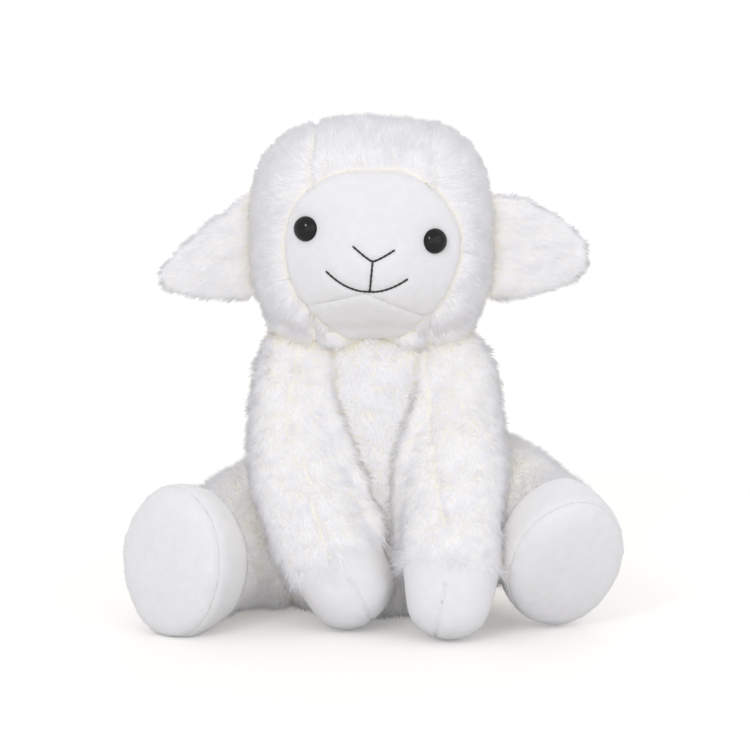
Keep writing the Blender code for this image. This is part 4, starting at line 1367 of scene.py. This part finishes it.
@dataclass
class Head(Stuffed):
    """The head, with its eyes and embroidery.

    Args:
        face: Where the features of its face are.
    """

    face: FaceSizes = field(default_factory=FaceSizes)

    def press_features(self) -> None:
        """Sinks the eyes and the embroidery into the face."""
        face = self.face
        for side in (-1, 1):
            x, z = face.eye(side)
            pressed(self.form, onto(self.surface, [(x, z), (x + 0.1 * MM, z)]), face.eye_sink, face.eye_sink_reach)
        for route in (face.nose(), face.lip(), face.mouth()):
            pressed(self.form, onto(self.surface, route), face.thread_sink, face.thread_sink_reach)

    def make_features(self) -> None:
        """Makes the eyes and the embroidery."""
        for side, name in ((-1, "left"), (1, "right")):
            self.make_eye(side, name)
        for name, route in (("nose", self.face.nose()), ("lip", self.face.lip()), ("mouth", self.face.mouth())):
            self.make_stitches(f"{name}_stitching", route)

    def make_eye(self, side: int, name: str) -> None:
        """Turns one safety eye and seats it on the face."""
        face = self.face
        x, z = face.eye(side)
        spot, normal, _, _ = self.surface.ray_cast(Vector((x, -1.0, z)), Vector((0.0, 1.0, 0.0)))
        shape = bmesh.new()
        angles = [math.pi / 2 * i / 16 for i in range(16)]
        profile = [
            (0.0, -face.shank_length), (face.shank_radius, -face.shank_length), (face.shank_radius, 0.0),
            (face.eye_radius * 0.93, 0.0),
        ]
        profile += [
            (face.eye_radius * math.cos(a), face.eye_rim + (face.eye_dome - face.eye_rim) * math.sin(a))
            for a in angles
        ]
        profile.append((0.0, face.eye_dome))
        verts = [shape.verts.new((r, 0.0, h)) for r, h in profile]
        edges = [shape.edges.new(pair) for pair in zip(verts, verts[1:])]
        bmesh.ops.spin(
            shape, geom=verts + edges, cent=(0, 0, 0), axis=(0, 0, 1), angle=2 * math.pi, steps=56, use_merge=True
        )
        bmesh.ops.remove_doubles(shape, verts=shape.verts, dist=SAME_PLACE)
        bmesh.ops.recalc_face_normals(shape, faces=shape.faces)
        facing = (normal * 0.75 + Vector((0.0, -0.25, 0.0))).normalized()
        turn = UP.rotation_difference(facing).to_matrix().to_4x4()
        place = Matrix.Translation(spot + facing * 0.2 * MM) @ turn
        bmesh.ops.transform(shape, matrix=place, verts=shape.verts)
        piece = from_shape(f"safety_eye_{name}", shape)
        finish_piece(piece, EYE_ABS, self.body, f"eye_{name}")
        piece.data.set_sharp_from_angle(angle=math.radians(50))

    def make_stitches(self, node: str, route: Route) -> None:
        """Sews a line of short overlapping stitches along the face."""
        line = onto(self.surface, route, 0.5 * MM)
        shape = bmesh.new()
        stride = 5
        for start in range(0, max(len(line) - 2, 1), stride):
            run = line[start:start + stride + 2]
            if len(run) < 2:
                continue
            along = run[-1] - run[0]
            made = bmesh.ops.create_uvsphere(shape, u_segments=10, v_segments=8, radius=1.0)["verts"]
            size = Matrix.Diagonal((self.face.thread, self.face.thread, along.length / 2 + 0.25 * MM, 1.0))
            turn = UP.rotation_difference(along.normalized()).to_matrix().to_4x4()
            middle = sum(run, Vector()) / len(run)
            lift = Vector((0.0, -0.15 * MM, 0.0))
            bmesh.ops.transform(shape, matrix=Matrix.Translation(middle + lift) @ turn @ size, verts=made)
        finish_piece(from_shape(f"{node}_thread", shape), THREAD, self.body, node)


def fur(node: str, flow: Flow, pile: Pile = PLUSH, parting: float = 1.0) -> Panel:
    """A panel of long-pile plush."""
    return Panel(node, "fur_plush", pile, flow, parting)


def smooth(node: str, flow: Flow) -> Panel:
    """A panel of short-pile velboa."""
    return Panel(node, "smooth_plush", NAP, flow)


def mm_route(*places: Tuple[float, float]) -> Route:
    """A line from the front, given in millimetres."""
    return tuple((x * MM, z * MM) for x, z in places)


def make_body() -> Stuffed:
    """The body, from neck to seat."""
    down, shaggy = Flow(), Flow((0.0, -0.2, -1.0))
    return Stuffed(
        "body", "body", ("body_stuffing", "pellet_bag"),
        (fur("body_cover", down), fur("chest_panel", shaggy, SHAGGY), smooth("seat_panel", Flow((0, 1, 0)))),
        filling="body_stuffing", pile_room=-2.2 * MM, nap_room=-1.6 * MM,
        meets=(
            "foreleg_sleeve_left", "foreleg_sleeve_right", "thigh_cover_left", "thigh_cover_right", "tail",
            "chin_panel", "head_side_left", "head_side_right", "head_gusset",
        ),
    )


def make_head() -> Head:
    """The head, whose fur is combed back from the face and down behind."""
    crown = Flow((0.0, 0.25, -0.6), source=(0.0, -0.085, 0.165))
    return Head(
        "head", "head",
        ("head_stuffing", "head_gusset", "head_side_left", "head_side_right", "face_panel", "chin_panel"),
        (
            fur("head_gusset", crown), fur("head_side_left", crown), fur("head_side_right", crown, parting=0.35),
            smooth("face_panel", Flow((0, 0, 1), source=(0.0, -0.09, 0.178), spread=2.0)),
            smooth("chin_panel", Flow()),
        ),
        filling="head_stuffing", voxel=2.6 * MM, seam_depth=0.8 * MM, smooth_bias=0.5 * MM,
        meets=("body_cover", "chest_panel", "foreleg_sleeve_left", "foreleg_sleeve_right"),
    )


def make_tail() -> Stuffed:
    """The short tail, combed down and back."""
    return Stuffed(
        "tail", "tail", ("tail",), (fur("tail", Flow((0, 0.4, -1))),), puff=0.3 * MM, voxel=2.4 * MM,
        meets=("body_cover",),
    )


def make_ear(side: str, way: int) -> Ear:
    """One ear, combed out to its tip."""
    tip = Flow((way * 1.0, 0.0, -0.45 if way < 0 else -0.2))
    nodes = (f"ear_front_{side}", f"ear_back_{side}")
    return Ear(
        f"ear_{side}", f"ear_{side}", nodes, tuple(fur(node, tip, EAR_PLUSH) for node in nodes),
        pile_room=1.8 * MM, puff=0.3 * MM, voxel=1.8 * MM, seam_depth=0.0, hem=Hem.FRINGED, way=way,
    )


def make_foreleg(side: str, flow: Flow, creases: Tuple[Route, ...], groove: Route) -> Stuffed:
    """One foreleg.

    Args:
        side: "left" or "right".
        flow: How its pile is combed.
        creases: Where its pile parts.
        groove: The seam down its hoof.

    Returns:
        The foreleg.
    """
    sleeve, hoof, filling = f"foreleg_sleeve_{side}", f"hoof_{side}", f"foreleg_stuffing_{side}"
    return Stuffed(
        f"foreleg_{side}", f"foreleg_{side}", (sleeve, hoof, filling), (fur(sleeve, flow), smooth(hoof, flow)),
        filling=filling, hem=Hem.HANGING, creases=creases, grooves=(groove,),
        meets=("body_cover", "chest_panel", f"head_side_{side}", "head_gusset", "chin_panel"),
    )


def make_hind_leg(side: str, way: int, turn: float) -> Stuffed:
    """One hind leg, turned out by an angle in degrees."""
    leg = Flow((way * math.sin(math.radians(turn)), -math.cos(math.radians(turn)), 0.0))
    thigh, shell, sole = f"thigh_cover_{side}", f"foot_shell_{side}", f"foot_sole_{side}"
    filling = f"hind_leg_stuffing_{side}"
    return Stuffed(
        f"hind_leg_{side}", f"hind_leg_{side}", (thigh, shell, sole, filling),
        (fur(thigh, leg, LEG_PLUSH), smooth(shell, leg), smooth(sole, Flow((0, 0, 1)))),
        filling=filling, nap_room=-1.8 * MM, seam_depth=0.4 * MM, meets=("body_cover",),
    )


def make_parts() -> List[Stuffed]:
    """Lists the stuffed parts of the toy, from the inside out."""
    return [
        make_body(), make_head(), make_tail(), make_ear("left", -1), make_ear("right", 1),
        make_foreleg(
            "left", Flow((0.45, -0.35, -1.0)), (
                mm_route((-36, 138), (-41.5, 108), (-42, 90)),
                mm_route((-34, 84), (-28.5, 58), (-22.4, 40), (-21, 26)),
            ), mm_route((-12, 28), (-3, 12), (0, 0.5)),
        ),
        make_foreleg(
            "right", Flow((-0.05, -0.45, -1.0)), (mm_route((24, 135), (26, 104), (28.5, 80), (32.5, 56)),),
            mm_route((32.5, 30), (29.5, 14), (28, 0.5)),
        ),
        make_hind_leg("left", -1, 34), make_hind_leg("right", 1, 18),
    ]


def make_pellet_bag() -> None:
    """The bag of pellets that weights the seat."""
    piece = remeshed("pellet_bag_cotton", ["pellet_bag"], 2.5 * MM, 3)
    finish_piece(piece, PELLET_COTTON, "body", "pellet_bag")
    log.info("pellet_bag: %d faces", len(piece.data.polygons))


def finish_washers() -> None:
    """Gives the eyes' lock washers their plastic."""
    for side in ("left", "right"):
        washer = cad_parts[f"eye_washer_{side}"]
        washer.material_slots[0].material = WASHER_PE.material()
        log.info("eye_washer_%s: finished", side)


@dataclass(frozen=True)
class Lamp:
    """A soft square lamp.

    Args:
        name: Its name.
        place: Where it stands.
        size: Its side.
        power: Its power in watts.
    """

    name: str
    place: Place
    size: float
    power: float


@dataclass
class Studio:
    """The pale floor, the soft light and the camera.

    Args:
        aim: What the camera and the lamps point at.
        distance: How far the camera stands from it.
        elevation: How far above it, in degrees.
        view_width: Width of what the camera shows there.
        sensor: Width of the camera's sensor, in its own millimetres.
        lamps: The lamps.
        surround: Brightness of the white surround, as the toy gets it.
        glow_near: The floor's own brightness beside the toy, where the lamps add the rest of white.
        glow_far: The same far from the toy.
        near: How far out the near value holds.
        far: From how far out the far value holds.
    """

    aim: Place = (0.0, -0.060, 0.126)
    distance: float = 1.5
    elevation: float = 10.0
    view_width: float = 750 * 0.467 * MM
    sensor: float = 36.0
    lamps: Tuple[Lamp, ...] = (
        Lamp("key", (-0.8, -1.7, 1.2), 0.5, 7.5),
        Lamp("fill", (1.4, -1.5, 0.7), 1.6, 5.5),
        Lamp("front", (-0.1, -2.2, 0.35), 1.8, 6.0),
        Lamp("back", (0.4, 2.0, 1.1), 1.8, 9.0),
    )
    surround: float = 0.88
    glow_near: float = 0.225
    glow_far: float = 0.36
    near: float = 0.25
    far: float = 1.5

    def make_camera(self) -> None:
        """Sets the camera at the angle of the product photograph."""
        angle = math.radians(self.elevation)
        data = bpy.data.cameras.new("camera")
        data.sensor_width = self.sensor
        data.lens = self.sensor * self.distance / self.view_width
        camera = bpy.data.objects.new("camera", data)
        camera.location = Vector(self.aim) + Vector((0.0, -math.cos(angle), math.sin(angle))) * self.distance
        camera.rotation_euler = (math.pi / 2 - angle, 0.0, 0.0)
        bpy.context.scene.collection.objects.link(camera)
        bpy.context.scene.camera = camera

    def shown(self, tree: bpy.types.NodeTree) -> bpy.types.NodeSocket:
        """Gives 1 to rays from the camera, a gloss or glass, and 0 to the light on the toy."""
        path = add_node(tree, "ShaderNodeLightPath")
        seen = path.outputs["Is Camera Ray"]
        for kind in ("Is Glossy Ray", "Is Transmission Ray"):
            seen = add_node(tree, "ShaderNodeMath", {0: seen, 1: path.outputs[kind]}, operation="MAXIMUM").outputs[0]
        return seen

    def make_floor(self) -> None:
        """Lays a white floor that keeps the toy's shadow."""
        shape = bmesh.new()
        bmesh.ops.create_grid(shape, x_segments=1, y_segments=1, size=12.0)
        floor = from_shape("studio_floor", shape)
        # White paper: matt, and evenly bright around the toy.
        made = bpy.data.materials.new("matt_white_paper")
        made.use_nodes = True
        tree = made.node_tree
        shader = tree.nodes["Principled BSDF"]
        shader.inputs["Base Color"].default_value = colour("e4e3e1")
        shader.inputs["Roughness"].default_value = 1.0
        shader.inputs["Specular IOR Level"].default_value = 0.0
        shader.inputs["Emission Color"].default_value = (1.0, 1.0, 1.0, 1.0)
        place = add_node(tree, "ShaderNodeTexCoord").outputs["Object"]
        away = add_node(tree, "ShaderNodeVectorMath", {0: place}, operation="LENGTH").outputs["Value"]
        own = add_node(tree, "ShaderNodeMapRange", {
            "Value": away, "From Min": self.near, "From Max": self.far, "To Min": self.glow_near,
            "To Max": self.glow_far,
        })
        glow = add_node(
            tree, "ShaderNodeMath", {0: self.shown(tree), 1: own.outputs["Result"]}, operation="MULTIPLY",
        )
        tree.links.new(glow.outputs[0], shader.inputs["Emission Strength"])
        floor.data.materials.append(made)

    def make_lamps(self) -> None:
        """Sets the lamps: a key above and left, and softer ones right, in front and behind."""
        for lamp in self.lamps:
            data = bpy.data.lights.new(lamp.name, "AREA")
            data.size = lamp.size
            data.energy = lamp.power
            piece = bpy.data.objects.new(lamp.name, data)
            piece.location = lamp.place
            way = Vector(self.aim) - Vector(lamp.place)
            piece.rotation_euler = way.to_track_quat("-Z", "Y").to_euler()
            bpy.context.scene.collection.objects.link(piece)

    def make_surround(self) -> None:
        """Sets an even white surround."""
        world = bpy.data.worlds.new("studio")
        bpy.context.scene.world = world
        world.use_nodes = True
        tree = world.node_tree
        tree.nodes.clear()
        strength = add_node(
            tree, "ShaderNodeMapRange", {"Value": self.shown(tree), "To Min": self.surround, "To Max": 1.0}
        )
        light = add_node(
            tree, "ShaderNodeBackground", {"Color": (1.0, 1.0, 1.0, 1.0), "Strength": strength.outputs["Result"]}
        )
        add_node(tree, "ShaderNodeOutputWorld", {"Surface": light.outputs[0]})

    def build(self) -> None:
        """Sets the whole studio."""
        self.make_camera()
        self.make_floor()
        self.make_lamps()
        self.make_surround()
        bpy.context.scene.view_settings.view_transform = "Standard"


def main() -> None:
    """Builds the studio and the toy."""
    Studio().build()
    parts = make_parts()
    for part in parts:
        part.shape()
        log.info("%s: form of %d faces", part.name, len(part.form.data.polygons))
    for part in parts:
        if isinstance(part, Head):
            part.make_features()
        part.dress(parts)
    make_pellet_bag()
    finish_washers()


if __name__ == "__main__":
    main()
